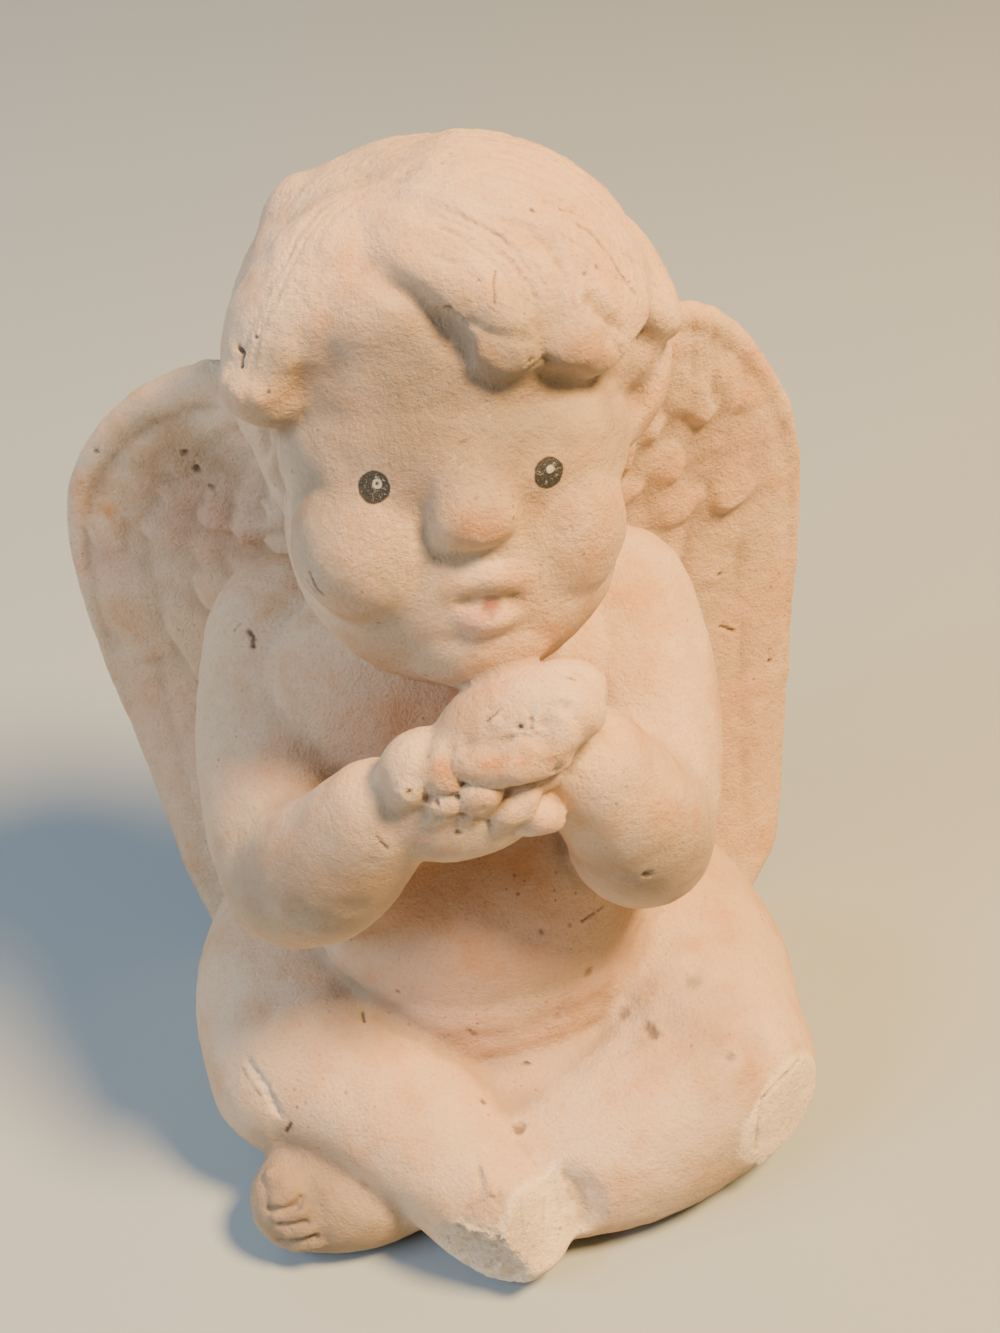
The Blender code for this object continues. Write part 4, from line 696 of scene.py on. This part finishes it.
def chip(mesh):
    points, normals = arrays(mesh)
    for way, middle, reach, rough in breaks:
        way, beyond, soft = overBreak(points, way, middle, reach)
        cut = (soft > 0) & (beyond > 0)
        craggy = np.array([turbulence.fractal(Vector(p) * 0.55, 0.6, 2.0, 4) for p in points[cut]])
        points[cut] -= np.outer((beyond[cut] * 0.97 + rough * craggy) * soft[cut], way)
    moveTo(mesh, points)


uneven = [("lumps", 7.0, 0.5), ("dabs", 2.6, 0.22)]    # name, size and height in units


def thinned(mesh, triangles):
    piece = placed("thin", mesh)
    for name, size, height in uneven:
        texture = bpy.data.textures.new(name, "CLOUDS")
        texture.noise_scale = size
        displace = piece.modifiers.new(name, "DISPLACE")
        displace.texture = texture
        displace.strength = height
        displace.mid_level = 0.5
    decimate = piece.modifiers.new("thin", "DECIMATE")
    decimate.ratio = min(1.0, triangles / sum(len(p.vertices) - 2 for p in mesh.polygons))
    return applied(piece)


def cutFlat(mesh):
    clay = bmesh.new()
    clay.from_mesh(mesh)
    geometry = list(clay.verts) + list(clay.edges) + list(clay.faces)
    cut = bmesh.ops.bisect_plane(clay, geom=geometry, dist=1e-5, plane_co=(0, 0, 0), plane_no=(0, 0, 1),
                                 clear_inner=True)
    rim = [e for e in cut["geom_cut"] if isinstance(e, bmesh.types.BMEdge)]
    bmesh.ops.contextual_create(clay, geom=rim)
    bmesh.ops.triangulate(clay, faces=list(clay.faces))
    clay.to_mesh(mesh)
    clay.free()


def castCherub():
    masses = []
    pressBody(masses)
    pressSkull(masses)
    pressHair(masses)
    pressPalms(masses)
    clay = [skinned(masses, skin["softGrain"], skin["softSmoothing"])]
    ball(clay, *face["chin"], place=head["place"])
    pressFingers(clay)
    for side in (-1, 1):
        pressWing(clay, side)
    mesh = skinned(clay, skin["fineGrain"], skin["fineSmoothing"])
    print("skin:", len(mesh.vertices), "points")
    carve(mesh)
    chip(mesh)
    mesh = thinned(mesh, skin["triangles"])
    cutFlat(mesh)
    pale = mark(mesh)
    wearAndShade(mesh, pale)
    mesh.transform(Matrix.Scale(layout["unit"], 4) @ Matrix.Translation([-m for m in layout["middle"]]))
    mesh.shade_smooth()
    mesh.name = "casting"
    print("casting:", len(mesh.polygons), "triangles")
    return mesh


# Worn and stained surfaces, some of them painted shade, as values from 0 to 1 on the casting's points. A stain
# is (x, y, z, reach, strength).

stains = {
    "ochre": [
        (-6.1, -13.3, 121.3, 5, 0.5), (-9.4, -14.9, 118.1, 4, 0.6), (-13.0, -15.7, 110.1, 3.5, 0.6),
        (1.9, -14.8, 124.4, 6, 0.45), (4.9, -18.0, 121.3, 4.5, 0.6), (7.6, -18.6, 120.7, 4, 0.7),
        (5.6, -20.9, 115.1, 4, 0.8), (8.2, -21.5, 114.4, 3.5, 0.7), (16.0, -17.4, 111.9, 4.5, 0.4),
        (12.6, -13.3, 123.1, 8, 0.3), (17.2, -10.9, 122.4, 6, 0.35), (25.7, -3.7, 109.5, 3, 0.5),
        (3.9, -28.1, 100.8, 4.0, 1.0), (6.0, -26.8, 98.6, 2.6, 0.6),                       # nose
        (-2.0, -33.9, 75.7, 3.2, 0.9), (3.7, -34.2, 76.7, 2.6, 0.6), (6.8, -33.8, 76.0, 2.6, 0.6),
        (9.2, -33.1, 76.1, 2.2, 1.0), (1.0, -31.2, 79.6, 3.5, 0.4), (-2.7, -34.1, 75.7, 3, 0.9),
        (1, -35.1, 76.8, 2.4, 0.9), (3.7, -35.3, 77.1, 2.4, 1), (6.1, -35, 77.1, 2.4, 1),
        (8.9, -34.6, 77.1, 2.2, 1), (13.6, -31.4, 80.9, 2.4, 0.5),                         # hands
        (-12.7, -33.4, 59.8, 3.4, 0.7), (-9.8, -33.1, 60.3, 2.6, 0.5),                     # forearm
        (-28.3, -18.4, 26.3, 3.6, 0.6), (-10.7, -31.4, 23.3, 3.4, 0.35), (-9.9, -36.5, 19.9, 4, 0.45),
        (-14, -34.4, 20.8, 3.6, 0.35), (31.6, -32.5, 19.3, 4, 0.6), (24.0, -31.2, 22.3, 5, 0.35),
        (-41.7, 25.8, 74.3, 7, 0.9), (-42.9, 25.5, 56, 5, 0.5), (-34.9, 22.9, 79.4, 4, 0.6),
        (-30.9, 21.3, 85.6, 4, 0.5), (46.7, 26.5, 47.6, 6, 0.35), (41.4, 23.4, 84.4, 6, 0.4)],
    "blush": [
        (-1.5, -23.5, 36.2, 15, 0.6), (-6.9, -22.7, 29.2, 9, 0.5), (-7.2, -9.5, 59.9, 12, 0.3),
        (-29.0, 20.5, 73.4, 11, 0.7), (-36.5, 22.2, 41.1, 12, 0.5), (8.8, -23.4, 24.8, 6, 0.6),
        (17.1, -17.4, 27.1, 6, 0.4), (-2, -25, 24, 6, 0.5), (40.4, 24.5, 73.3, 7, 0.6),
        (-42.8, 26.0, 65.4, 5, 0.7), (3.0, -27.4, 89.6, 3.4, 1.0), (7.9, -34.5, 67.1, 1.9, 1.0),
        (24.0, 12, 60, 10, 0.4)],
    # tan grime, partly painted shade: under the upper lip, on the left forearm and elbow, low on the feet, on
    # the left temple, and on the left wing and shoulder where the head shades them
    "tan": [
        (19.1, -21.3, 23.7, 3.0, 0.9), (20.7, -20.2, 25.0, 2.8, 0.7), (23.1, -19.7, 26.0, 2.4, 0.5),
        (26.8, -20.0, 26.3, 2.2, 0.3), (30.3, -21.8, 25.3, 2.4, 0.3), (31.5, -29.2, 22.3, 3.0, 0.4),
        (29.7, -32.2, 20.6, 2.6, 0.5), (25.7, -34.2, 19.8, 2.4, 0.4), (19.6, -30.6, 22.2, 2.4, 0.4),
        (19.0, -26.3, 22.9, 2.6, 0.6), (25.5, -27.0, 23.8, 9, 0.35), (-12.7, -33.4, 57.0, 8, 0.35),
        (-24, -22, 50, 9, 0.3), (-17.5, -39, 5, 9, 0.3), (-18, -10, 112, 6, 0.25),
        (-30, 21, 82, 8, 0.6), (-36, 23, 84, 6, 0.35), (-20, -4.5, 78, 6, 0.3),
        (0.2, -26.7, 92.2, 1.8, 0.8), (1.6, -26.9, 92.4, 1.8, 0.8), (3.0, -27.0, 92.8, 1.6, 0.7),
        (4.5, -27.0, 93.0, 1.6, 0.6), (5.8, -26.7, 92.2, 1.8, 0.8), (7.2, -26.0, 90.9, 1.8, 0.8)],
    # broad greyish soiling, and painted shade on the forehead under the fringe, the temples, the forearms and
    # elbows, under the chin and hands, in the lap's folds, under the knee at +X and on the feet
    "soiledAndShaded": [
        (-0.8, -18.8, 110.5, 15, 1.0), (8.8, -19.1, 109.4, 14, 0.95), (-9.1, -17.3, 108.3, 13, 0.9),
        (17.6, -12.6, 104, 9, 0.6), (-15.3, -14.7, 109, 7, 0.5), (-16.6, -32.3, 57.4, 13, 0.9),
        (-23.7, -25.6, 53.9, 12, 0.7), (-8.8, -32.7, 65.5, 8, 0.5), (18.3, -30.2, 52.5, 12, 0.7),
        (25.3, -26.2, 52.1, 11, 0.6), (-25.0, -35.9, 9.4, 13, 1.0), (-21.5, -38.1, 6.4, 12, 1.0),
        (29.4, -36.1, 7.0, 16, 0.6), (13.2, -16.4, 76.9, 9, 0.6), (-5.3, -22.7, 83.7, 10, 0.5),
        (10.3, -21.9, 26.5, 8, 0.35), (-15.9, -20.5, 25.1, 7, 0.6)],
    "rose": [(4.2, -27.0, 91.0, 1.2, 1.0), (4.8, -26.9, 91.1, 1.0, 1.0)],                     # mouth
    "rough": [
        (-8, -25.0, 95, 11, 1.0), (-12, -22, 98, 9, 0.9), (14, -23, 95, 10, 0.7), (1.5, -20, 110, 14, 0.7),
        (3.9, -28.1, 100.8, 5, 0.8), (1.0, -32, 79.6, 7, 0.7), (-3, -35, 70, 9, 0.8), (3, -34, 80, 8, 0.5),
        (20, -30, 56, 9, 0.5), (-2.5, -44.5, 11, 8, 1.0), (-30, 21, 78, 12, 0.6), (25, -27, 23, 9, 0.3)],
}
wearing = {
    "fineSpread": 8, "broadSpread": 60,     # rounds of smoothing that hollows are measured against
    "hollow": 4, "broadHollow": 1.2, "crown": 5,
    "bareUnder": 0.45, "bareEdge": 0.2,
}
# Marks: a route, its half width, how deep it is cut, and how dark it is; below 0 it is paler than the coat
marks = [
    ([(-22.7, -2.8, 73.1), (-22.9, -3.6, 72.4), (-22.8, -4.4, 71.7)], 0.45, 0.30, 1.0),      # shoulder
    ([(-24.5, -1.6, 73.0), (-24.6, -2.2, 72.3)], 0.22, 0.1, 0.6),
    ([(7.9, -16.6, 122.7), (7.4, -17.6, 121.8), (7.5, -18.8, 120.5)], 0.22, 0.25, 0.8),      # hair
    ([(-18.2, -11.3, 114.6), (-18.0, -12.1, 113.8), (-18.2, -12.6, 112.9)], 0.38, 0.55, 1.0),
    ([(2.4, -16.9, 118.4), (2.9, -17.4, 117.4)], 0.75, 0.7, 0.25),
    ([(-16.3, -12.8, 116.0)], 0.3, 0.2, 1.0), ([(11.3, -20.1, 114.3)], 0.45, 0.4, 0.9),
    ([(10.9, -18.8, 118.8)], 0.3, 0.2, 0.8), ([(12.3, -10.7, 125.7)], 0.35, 0.2, 0.9),
    ([(9.0, -13.2, 125.0)], 0.3, 0.2, 0.6), ([(18.1, -12.5, 120.2)], 0.35, 0.2, 0.7),
    ([(17.0, -13.8, 120.2)], 0.35, 0.2, 0.6), ([(14.9, -9.3, 125.2), (16.3, -8.3, 124.3)], 0.3, 0.2, 0.6),
    ([(17.1, -9.4, 123.3), (18.2, -9.4, 122.2), (22.3, -11.4, 116.8)], 0.35, 0.25, 0.5),
    ([(-10.7, -21.0, 29.7)], 0.45, 0.2, 0.6), ([(-1.9, -24.6, 25.1)], 0.8, 0.1, 0.5),         # belly and lap
    ([(-2.9, -24.5, 25.1)], 0.7, 0.1, 0.4), ([(-15.9, -20.6, 26.1), (-15.2, -21, 26)], 0.3, 0.2, 1.0),
    ([(13.0, -20.3, 29.4)], 0.9, 0.15, 0.55), ([(8.5, -23.5, 25.2)], 0.7, 0.1, 0.35),
    ([(-1.3, -30.5, 20.2)], 0.55, 0.3, 0.9), ([(2.4, -33.6, 18.8)], 1.1, 0.3, 0.75),
    ([(16.8, -21.2, 21.8)], 1.25, 0.15, 0.55), ([(25.3, -21.1, 25.9)], 1.3, 0.2, 0.4),
    ([(19.8, -24.8, 23.2), (19.3, -26.0, 23.0)], 1.1, 0.35, 0.7), ([(28.9, -30.0, 22.6)], 0.8, 0.2, 0.5),
    ([(7.3, -21.8, 38.5)], 0.5, 0.15, 0.6), ([(10.9, -20.5, 38.0)], 0.35, 0.15, 0.6),
    ([(14.9, -17.9, 37.9), (12.6, -19.6, 37.8)], 0.22, 0.15, 0.9), ([(-17.8, -30.4, 22.8)], 0.3, 0.15, 0.7),
    ([(-29.7, -24.0, 22.7), (-28.0, -26.3, 21.1), (-26.4, -28.4, 18.6)], 0.85, 0.5, -0.9),   # knee at -X
    ([(-30.4, -24.0, 22.2), (-28.7, -26.4, 20.4)], 0.25, 0.2, 0.5),
    ([(-25.6, -29.1, 17.8), (-25.9, -29.4, 15.6)], 0.35, 0.35, 1.0),
    ([(-13.7, -23.2, 94.2), (-13.1, -23.9, 93.2), (-12.4, -24.3, 92.3)], 0.3, 0.2, 0.8),     # cheek
    ([(-14.2, -22.9, 93.2), (-13.6, -23.6, 92.2)], 0.25, 0.15, 0.7),
    ([(2.7, -31.7, 80.1), (3.4, -31.6, 80.7), (4.2, -31.5, 81.0)], 0.22, 0.3, 0.8),          # hands
    ([(7.2, -32.6, 80.5), (7.1, -33.1, 79.4)], 0.3, 0.35, 0.5), ([(5.7, -32.9, 79.6)], 0.4, 0.4, 0.9),
    ([(11.6, -29.2, 82.3), (12.5, -29.2, 82.3)], 0.25, 0.2, 0.9), ([(-3.4, -25.1, 80.6)], 0.3, 0.2, 0.8),
    ([(-10.3, -33.2, 67.0), (-9.2, -33.7, 65.2)], 0.22, 0.2, 0.8), ([(-6.2, -34.3, 73.1)], 0.5, 0.4, 0.8),
    ([(-3.7, -34.7, 72.2)], 0.6, 0.4, 0.4), ([(-1.3, -34.9, 67.9)], 0.5, 0.35, 0.5),
    ([(1.1, -35.3, 69.7), (2.1, -34.6, 68.6)], 0.25, 0.3, 0.6),
    ([(-29.9, 20.7, 82.5)], 0.7, 0.4, 0.7), ([(-28.7, 20.5, 81.0)], 0.7, 0.4, 0.8),           # wings
    ([(-27.2, 19.8, 78.4)], 0.6, 0.3, 0.8), ([(-41.2, 24.8, 82.4)], 0.6, 0.3, 0.7),
    ([(37.0, 23.4, 46.4), (38.2, 23.4, 45.6)], 0.4, 0.3, 0.6), ([(36.0, 23.1, 55.0)], 0.5, 0.3, 0.6),
    ([(43.9, 25.2, 38.0)], 0.5, 0.3, 0.8), ([(19.0, -30.7, 54.6)], 0.8, 0.4, 0.5),
]
marking = {
    "splits": ((1, 0.9), (2, 0.5)),         # each round, and how far past a path it splits
    "raggedGrain": 2.2, "raggedness": 0.35, "edge": 1.15,
}


def refined(mesh, paths):
    # splits the casting's triangles near each path, as often as it asks
    clay = bmesh.new()
    clay.from_mesh(mesh)
    for turn, reach in marking["splits"]:
        tree = KDTree(len(clay.verts))
        for i, vert in enumerate(clay.verts):
            tree.insert(vert.co, i)
        tree.balance()
        clay.verts.ensure_lookup_table()
        near = set()
        for path, half, turns in paths:
            for place in path if turn <= turns else []:
                near.update(i for _, i, _ in tree.find_range(place, half + reach))
        edges = {e for i in near for e in clay.verts[i].link_edges}
        bmesh.ops.subdivide_edges(clay, edges=list(edges), cuts=1)
        bmesh.ops.triangulate(clay, faces=[f for f in clay.faces if len(f.verts) > 3])
    clay.to_mesh(mesh)
    clay.free()


def mark(mesh):
    # cuts the narrow strokes and the marks, and returns where the coat is bared
    points, normals = arrays(mesh)
    paths = [(dense(route, points), half) for route, half, deep, dark in marks]
    narrow = [(dense(route, points), half, 1) for route, half, lift in sum(strokes.values(), [])
              if half < tool["narrow"]]
    refined(mesh, [(path, half, 2) for path, half in paths] + narrow)
    points, normals = arrays(mesh)
    points = sculpt(points, normals, True)
    dark, pale = np.zeros(len(points)), np.zeros(len(points))
    for (path, half), (route, _, deep, shade) in zip(paths, marks):
        which, far = around(points, path, half * 2)
        ragged = np.array([turbulence.noise(Vector(p) * marking["raggedGrain"]) for p in points[which]])
        cut = np.clip(marking["edge"] - far / half - ragged * marking["raggedness"], 0, 1)
        cut = cut * cut * (3 - 2 * cut)
        points[which] -= normals[which] * (cut * deep)[:, None]
        layer = dark if shade > 0 else pale
        layer[which] = np.maximum(layer[which], cut * abs(shade))
    moveTo(mesh, points)
    store(mesh, "dark", dark)
    return pale


def store(mesh, name, values):
    layer = mesh.attributes.new(name, "FLOAT", "POINT")
    layer.data.foreach_set("value", np.clip(values, 0, 1).astype(np.float32))


def hollows(mesh, spread):
    # how far each point lies under the smoothed surface around it, in units
    points, normals = arrays(mesh)
    edges = np.empty(len(mesh.edges) * 2, dtype=np.int64)
    mesh.edges.foreach_get("vertices", edges)
    edges = edges.reshape(-1, 2)
    count = np.bincount(edges.ravel(), minlength=len(points))[:, None]
    soft = points.copy()
    for _ in range(spread):
        total = np.zeros_like(soft)
        for i in range(3):
            total[:, i] = (np.bincount(edges[:, 0], weights=soft[edges[:, 1], i], minlength=len(points))
                           + np.bincount(edges[:, 1], weights=soft[edges[:, 0], i], minlength=len(points)))
        soft = total / count
    return ((soft - points) * normals).sum(axis=1)


def wearAndShade(mesh, pale):
    # stores wear, stains and the painted shade of the soiled and tan layers
    points, normals = arrays(mesh)
    fine, broad = hollows(mesh, wearing["fineSpread"]), hollows(mesh, wearing["broadSpread"])
    store(mesh, "hollow", fine * wearing["hollow"])
    store(mesh, "broadHollow", broad * wearing["broadHollow"])
    store(mesh, "crown", -fine * wearing["crown"])
    for name, places in stains.items():
        worn = np.zeros(len(points))
        for x, y, z, reach, strength in places:
            far = np.linalg.norm(points - np.array((x, y, z)), axis=1) / reach
            worn = np.maximum(worn, strength * np.clip(1 - far * far, 0, 1) ** 1.3)
        store(mesh, name, worn)
    bare = pale.copy()
    for way, middle, reach, rough in breaks:
        way, beyond, soft = overBreak(points, way, middle, reach)
        flat = np.clip((beyond + wearing["bareUnder"] + rough) / wearing["bareEdge"], 0, 1)
        bare = np.maximum(bare, flat * soft)
    store(mesh, "bare", bare)


# Materials

def add(tree, kind, inputs=None, **settings):
    node = tree.nodes.new("ShaderNode" + kind)
    for name, value in settings.items():
        setattr(node, name, value)
    for key, value in (inputs or {}).items():
        if isinstance(value, bpy.types.NodeSocket):
            tree.links.new(value, node.inputs[key])
        else:
            node.inputs[key].default_value = value
    return node


def mixed(tree, factor, one, two):
    return add(tree, "Mix", {0: factor, 6: one, 7: two}, data_type="RGBA").outputs[2]


def maths(tree, one, two, operation="ADD"):
    return add(tree, "Math", {0: one, 1: two}, operation=operation).outputs[0]


def times(tree, one, two):
    return maths(tree, one, two, "MULTIPLY")


def ramp(tree, value, low, high, start=0.0, end=1.0):
    return add(tree, "MapRange", {0: value, 1: low, 2: high, 3: start, 4: end}, clamp=True).outputs[0]


def noise(tree, scale, detail, roughness, place, distortion=0.0):
    return add(tree, "TexNoise", {"Vector": place, "Scale": scale, "Detail": detail,
                                  "Roughness": roughness, "Distortion": distortion}).outputs[0]


coat = {
    "cream": (0.63, 0.47, 0.32, 1), "pale": (0.69, 0.55, 0.41, 1), "peach": (0.63, 0.37, 0.21, 1),
    "blush": (0.66, 0.38, 0.30, 1), "ochre": (0.52, 0.22, 0.055, 1), "tan": (0.32, 0.22, 0.13, 1),
    # the soiling colour also serves as painted shade
    "soiledAndShaded": (0.19, 0.155, 0.115, 1), "dirt": (0.33, 0.24, 0.16, 1), "fleck": (0.20, 0.10, 0.06, 1),
    "bare": (0.80, 0.70, 0.57, 1), "rose": (0.20, 0.025, 0.02, 1),
    "dark": (0.075, 0.055, 0.045, 1), "roughness": 0.86, "specular": 0.35,
}
eyes = {"ink": (0.035, 0.038, 0.042, 1), "grey": (0.42, 0.42, 0.41, 1), "radius": 1.7,
        "places": [(-5.95, -21.85, 102.6), (10.8, -21.1, 101.9)],
        "glint": (0.00030, 0, 0.00042)}     # the painted highlight's middle, from a dot's middle, in metres


def painted(tree, name):
    return add(tree, "Attribute", attribute_name=name).outputs["Fac"]


def stained(tree, colour, name, share, tint):
    return mixed(tree, times(tree, painted(tree, name), share), colour, coat[tint])


def inRadii(group, start, centre, wobble, shake):
    # how far a place is from the centre, with an uneven edge
    far = add(group, "VectorMath", {0: start["Place"], 1: centre}, operation="DISTANCE").outputs["Value"]
    share = maths(group, far, start["Radius"], "DIVIDE")
    return maths(group, share, times(group, maths(group, wobble, 0.5, "SUBTRACT"), shake))


def dotGroup():
    # a pen-drawn dot: Ink is its scribbled disc, Light the bare gaps in the scribble together with a painted
    # highlight ring round the glint near its middle
    group = bpy.data.node_groups.new("penDot", "ShaderNodeTree")
    for name, kind in (("Place", "NodeSocketVector"), ("Centre", "NodeSocketVector"),
                       ("Glint", "NodeSocketVector"), ("Radius", "NodeSocketFloat")):
        group.interface.new_socket(name, in_out="INPUT", socket_type=kind)
    for name in ("Ink", "Light"):
        group.interface.new_socket(name, in_out="OUTPUT", socket_type="NodeSocketFloat")
    start = group.nodes.new("NodeGroupInput").outputs
    end = group.nodes.new("NodeGroupOutput").inputs
    wobble = noise(group, 900, 2, 0.5, start["Place"])
    share = inRadii(group, start, start["Centre"], wobble, 0.22)
    disc = ramp(group, share, 1.04, 0.94)
    scribble = noise(group, 1500, 3, 0.6, start["Place"], 2.5)
    gaps = times(group, ramp(group, scribble, 0.56, 0.66), ramp(group, share, 0.95, 0.7))
    glint = inRadii(group, start, start["Glint"], wobble, 0.25)
    ring = times(group, ramp(group, glint, 0.34, 0.26), ramp(group, glint, 0.05, 0.15))
    light = maths(group, ring, times(group, gaps, 0.55), "MAXIMUM")
    group.links.new(disc, end["Ink"])
    group.links.new(light, end["Light"])
    return group


def chalkyCoat(mesh):
    material = bpy.data.materials.new("chalkyCoat")
    material.use_nodes = True
    tree = material.node_tree
    shader = tree.nodes["Principled BSDF"]
    place = add(tree, "TexCoord").outputs["Object"]
    clouds = noise(tree, 42, 4, 0.6, place)
    colour = mixed(tree, ramp(tree, clouds, 0.40, 0.60), coat["cream"], coat["pale"])
    peach = ramp(tree, noise(tree, 85, 5, 0.65, place), 0.45, 0.70, 0, 0.75)
    colour = mixed(tree, peach, colour, coat["peach"])
    colour = stained(tree, colour, "blush", 0.8, "blush")
    colour = stained(tree, colour, "broadHollow", 0.12, "blush")
    # Ochre shows through where the coat is rubbed, in ragged patches and along crests
    ragged = ramp(tree, noise(tree, 330, 6, 0.7, place), 0.38, 0.68)
    colour = stained(tree, colour, "ochre", maths(tree, times(tree, ragged, 0.75), 0.25), "ochre")
    crests = ramp(tree, noise(tree, 120, 4, 0.6, place), 0.45, 0.7, 0, 0.45)
    colour = stained(tree, colour, "crown", crests, "ochre")
    # Soiling and grime are broken up, and hollows keep some of it. The soiling and the tan grime also stand
    # for painted shade on the forehead, forearms and feet, under the upper lip and beside the head.
    soilingAndShadeBreakup = ramp(tree, noise(tree, 140, 5, 0.7, place), 0.25, 0.75, 0.6, 1.0)
    colour = stained(tree, colour, "soiledAndShaded", soilingAndShadeBreakup, "soiledAndShaded")
    colour = stained(tree, colour, "broadHollow", 0.30, "tan")
    colour = mixed(tree, painted(tree, "rose"), colour, coat["rose"])
    grimeAndShadeBreakup = ramp(tree, noise(tree, 260, 6, 0.75, place), 0.35, 0.65, 0.15, 1.0)
    colour = stained(tree, colour, "tan", grimeAndShadeBreakup, "tan")
    colour = stained(tree, colour, "bare", 0.85, "bare")
    # Fine grain, darker in its pits, and coarser where the coat is rough
    grain = noise(tree, 2300, 3, 0.7, place)
    coarse = noise(tree, 1300, 5, 0.75, place)
    rough = painted(tree, "rough")
    colour = mixed(tree, ramp(tree, grain, 0.50, 0.22, 0, 0.45), colour, coat["tan"])
    pitted = times(tree, ramp(tree, coarse, 0.44, 0.30), maths(tree, times(tree, rough, 0.22), 0.10))
    colour = mixed(tree, pitted, colour, coat["dirt"])
    colour = stained(tree, colour, "hollow", 0.55, "dirt")
    # Brown flecks gather in patches
    cells = add(tree, "TexVoronoi", {"Vector": place, "Scale": 820.0})
    size = add(tree, "SeparateColor", {0: cells.outputs["Color"]}).outputs[0]
    far = maths(tree, cells.outputs["Distance"], times(tree, size, 0.22), "SUBTRACT")
    patches = ramp(tree, noise(tree, 75, 5, 0.65, place), 0.47, 0.66, 0.05, 1)
    fleck = times(tree, ramp(tree, far, 0.02, -0.04), patches)
    colour = mixed(tree, times(tree, fleck, 0.62), colour, coat["fleck"])
    colour = stained(tree, colour, "dark", 0.9, "dark")
    points, normals = arrays(mesh)
    group = dotGroup()
    for spot in eyes["places"]:
        centre = onto(points, inMetres(spot))
        glint = centre + np.array(eyes["glint"])
        dot = tree.nodes.new("ShaderNodeGroup")
        dot.node_tree = group
        tree.links.new(place, dot.inputs["Place"])
        dot.inputs["Centre"].default_value = centre
        dot.inputs["Glint"].default_value = glint
        dot.inputs["Radius"].default_value = eyes["radius"] * layout["unit"]
        # the eye's ink, with its bare gaps and painted highlight in grey
        ink = mixed(tree, dot.outputs["Light"], eyes["ink"], eyes["grey"])
        colour = mixed(tree, dot.outputs["Ink"], colour, ink)
    tree.links.new(colour, shader.inputs["Base Color"])
    shader.inputs["Roughness"].default_value = coat["roughness"]
    shader.inputs["Specular IOR Level"].default_value = coat["specular"]
    bits = times(tree, ramp(tree, coarse, 0.40, 0.75), maths(tree, times(tree, rough, 0.55), 0.10))
    height = maths(tree, times(tree, grain, 0.42), bits)
    height = maths(tree, height, times(tree, noise(tree, 260, 3, 0.6, place), 0.9))
    bump = add(tree, "Bump", {"Strength": 0.9, "Distance": 0.0006, "Height": height})
    tree.links.new(bump.outputs[0], shader.inputs["Normal"])
    return material


floorCoat = {"colour": (0.34, 0.41, 0.46, 1), "roughness": 0.8}


def paleFloor():
    material = bpy.data.materials.new("paleFloor")
    material.use_nodes = True
    shader = material.node_tree.nodes["Principled BSDF"]
    shader.inputs["Base Color"].default_value = floorCoat["colour"]
    shader.inputs["Roughness"].default_value = floorCoat["roughness"]
    return material


# Studio

studio = {
    "floorSize": 4.0,
    "world": ((0.85, 0.92, 1.0, 1), 0.03),
    # place in metres, size, watts, colour
    "lights": [((0.365, -0.20, 0.69), 0.20, 22.5, (1.0, 0.60, 0.25)),
               ((-0.55, -0.28, 0.50), 0.50, 4.9, (0.82, 0.90, 1.0)),
               ((-0.36, 0.52, 0.46), 0.40, 1.4, (0.88, 0.93, 1.0))],
    "lightsAim": (0.0, 0.0, 0.06),
}
camera = {"azimuth": -2.0, "elevation": 38.0, "roll": -4.5, "distance": 0.242, "lens": 55.0,
          "aim": (5.5, -4.0, 65.0)}


def setStudio():
    floor = bmesh.new()
    bmesh.ops.create_grid(floor, x_segments=1, y_segments=1, size=studio["floorSize"] / 2)
    mesh = bpy.data.meshes.new("floor")
    floor.to_mesh(mesh)
    floor.free()
    mesh.materials.append(paleFloor())
    piece = placed("floor", mesh)
    world = bpy.data.worlds.new("studio")
    world.use_nodes = True
    background = world.node_tree.nodes["Background"]
    background.inputs[0].default_value, background.inputs[1].default_value = studio["world"]
    bpy.context.scene.world = world
    for place, size, watts, colour in studio["lights"]:
        lamp = bpy.data.lights.new("softbox", "AREA")
        lamp.shape = "DISK"
        lamp.size, lamp.energy, lamp.color = size, watts, colour
        holder = placed("softbox", lamp)
        holder.location = place
        aim = Vector(studio["lightsAim"]) - Vector(place)
        holder.rotation_euler = aim.to_track_quat("-Z", "Y").to_euler()


def setCamera():
    lens = bpy.data.cameras.new("camera")
    lens.lens, lens.sensor_width, lens.clip_start = camera["lens"], 36, 0.01
    holder = placed("camera", lens)
    back = heading(camera["azimuth"], camera["elevation"])
    holder.matrix_world = (Matrix.Translation(inMetres(camera["aim"]) + back * camera["distance"])
                           @ (-back).to_track_quat("-Z", "Y").to_matrix().to_4x4()
                           @ Matrix.Rotation(math.radians(camera["roll"]), 4, "Z"))
    bpy.context.scene.camera = holder


setCamera()
setStudio()
print("studio set")
casting = castCherub()
casting.materials.append(chalkyCoat(casting))
figurine = placed("cherubCasting", casting)
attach(figurine, "root")
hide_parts("angel_figurine")
print("figurine dressed")
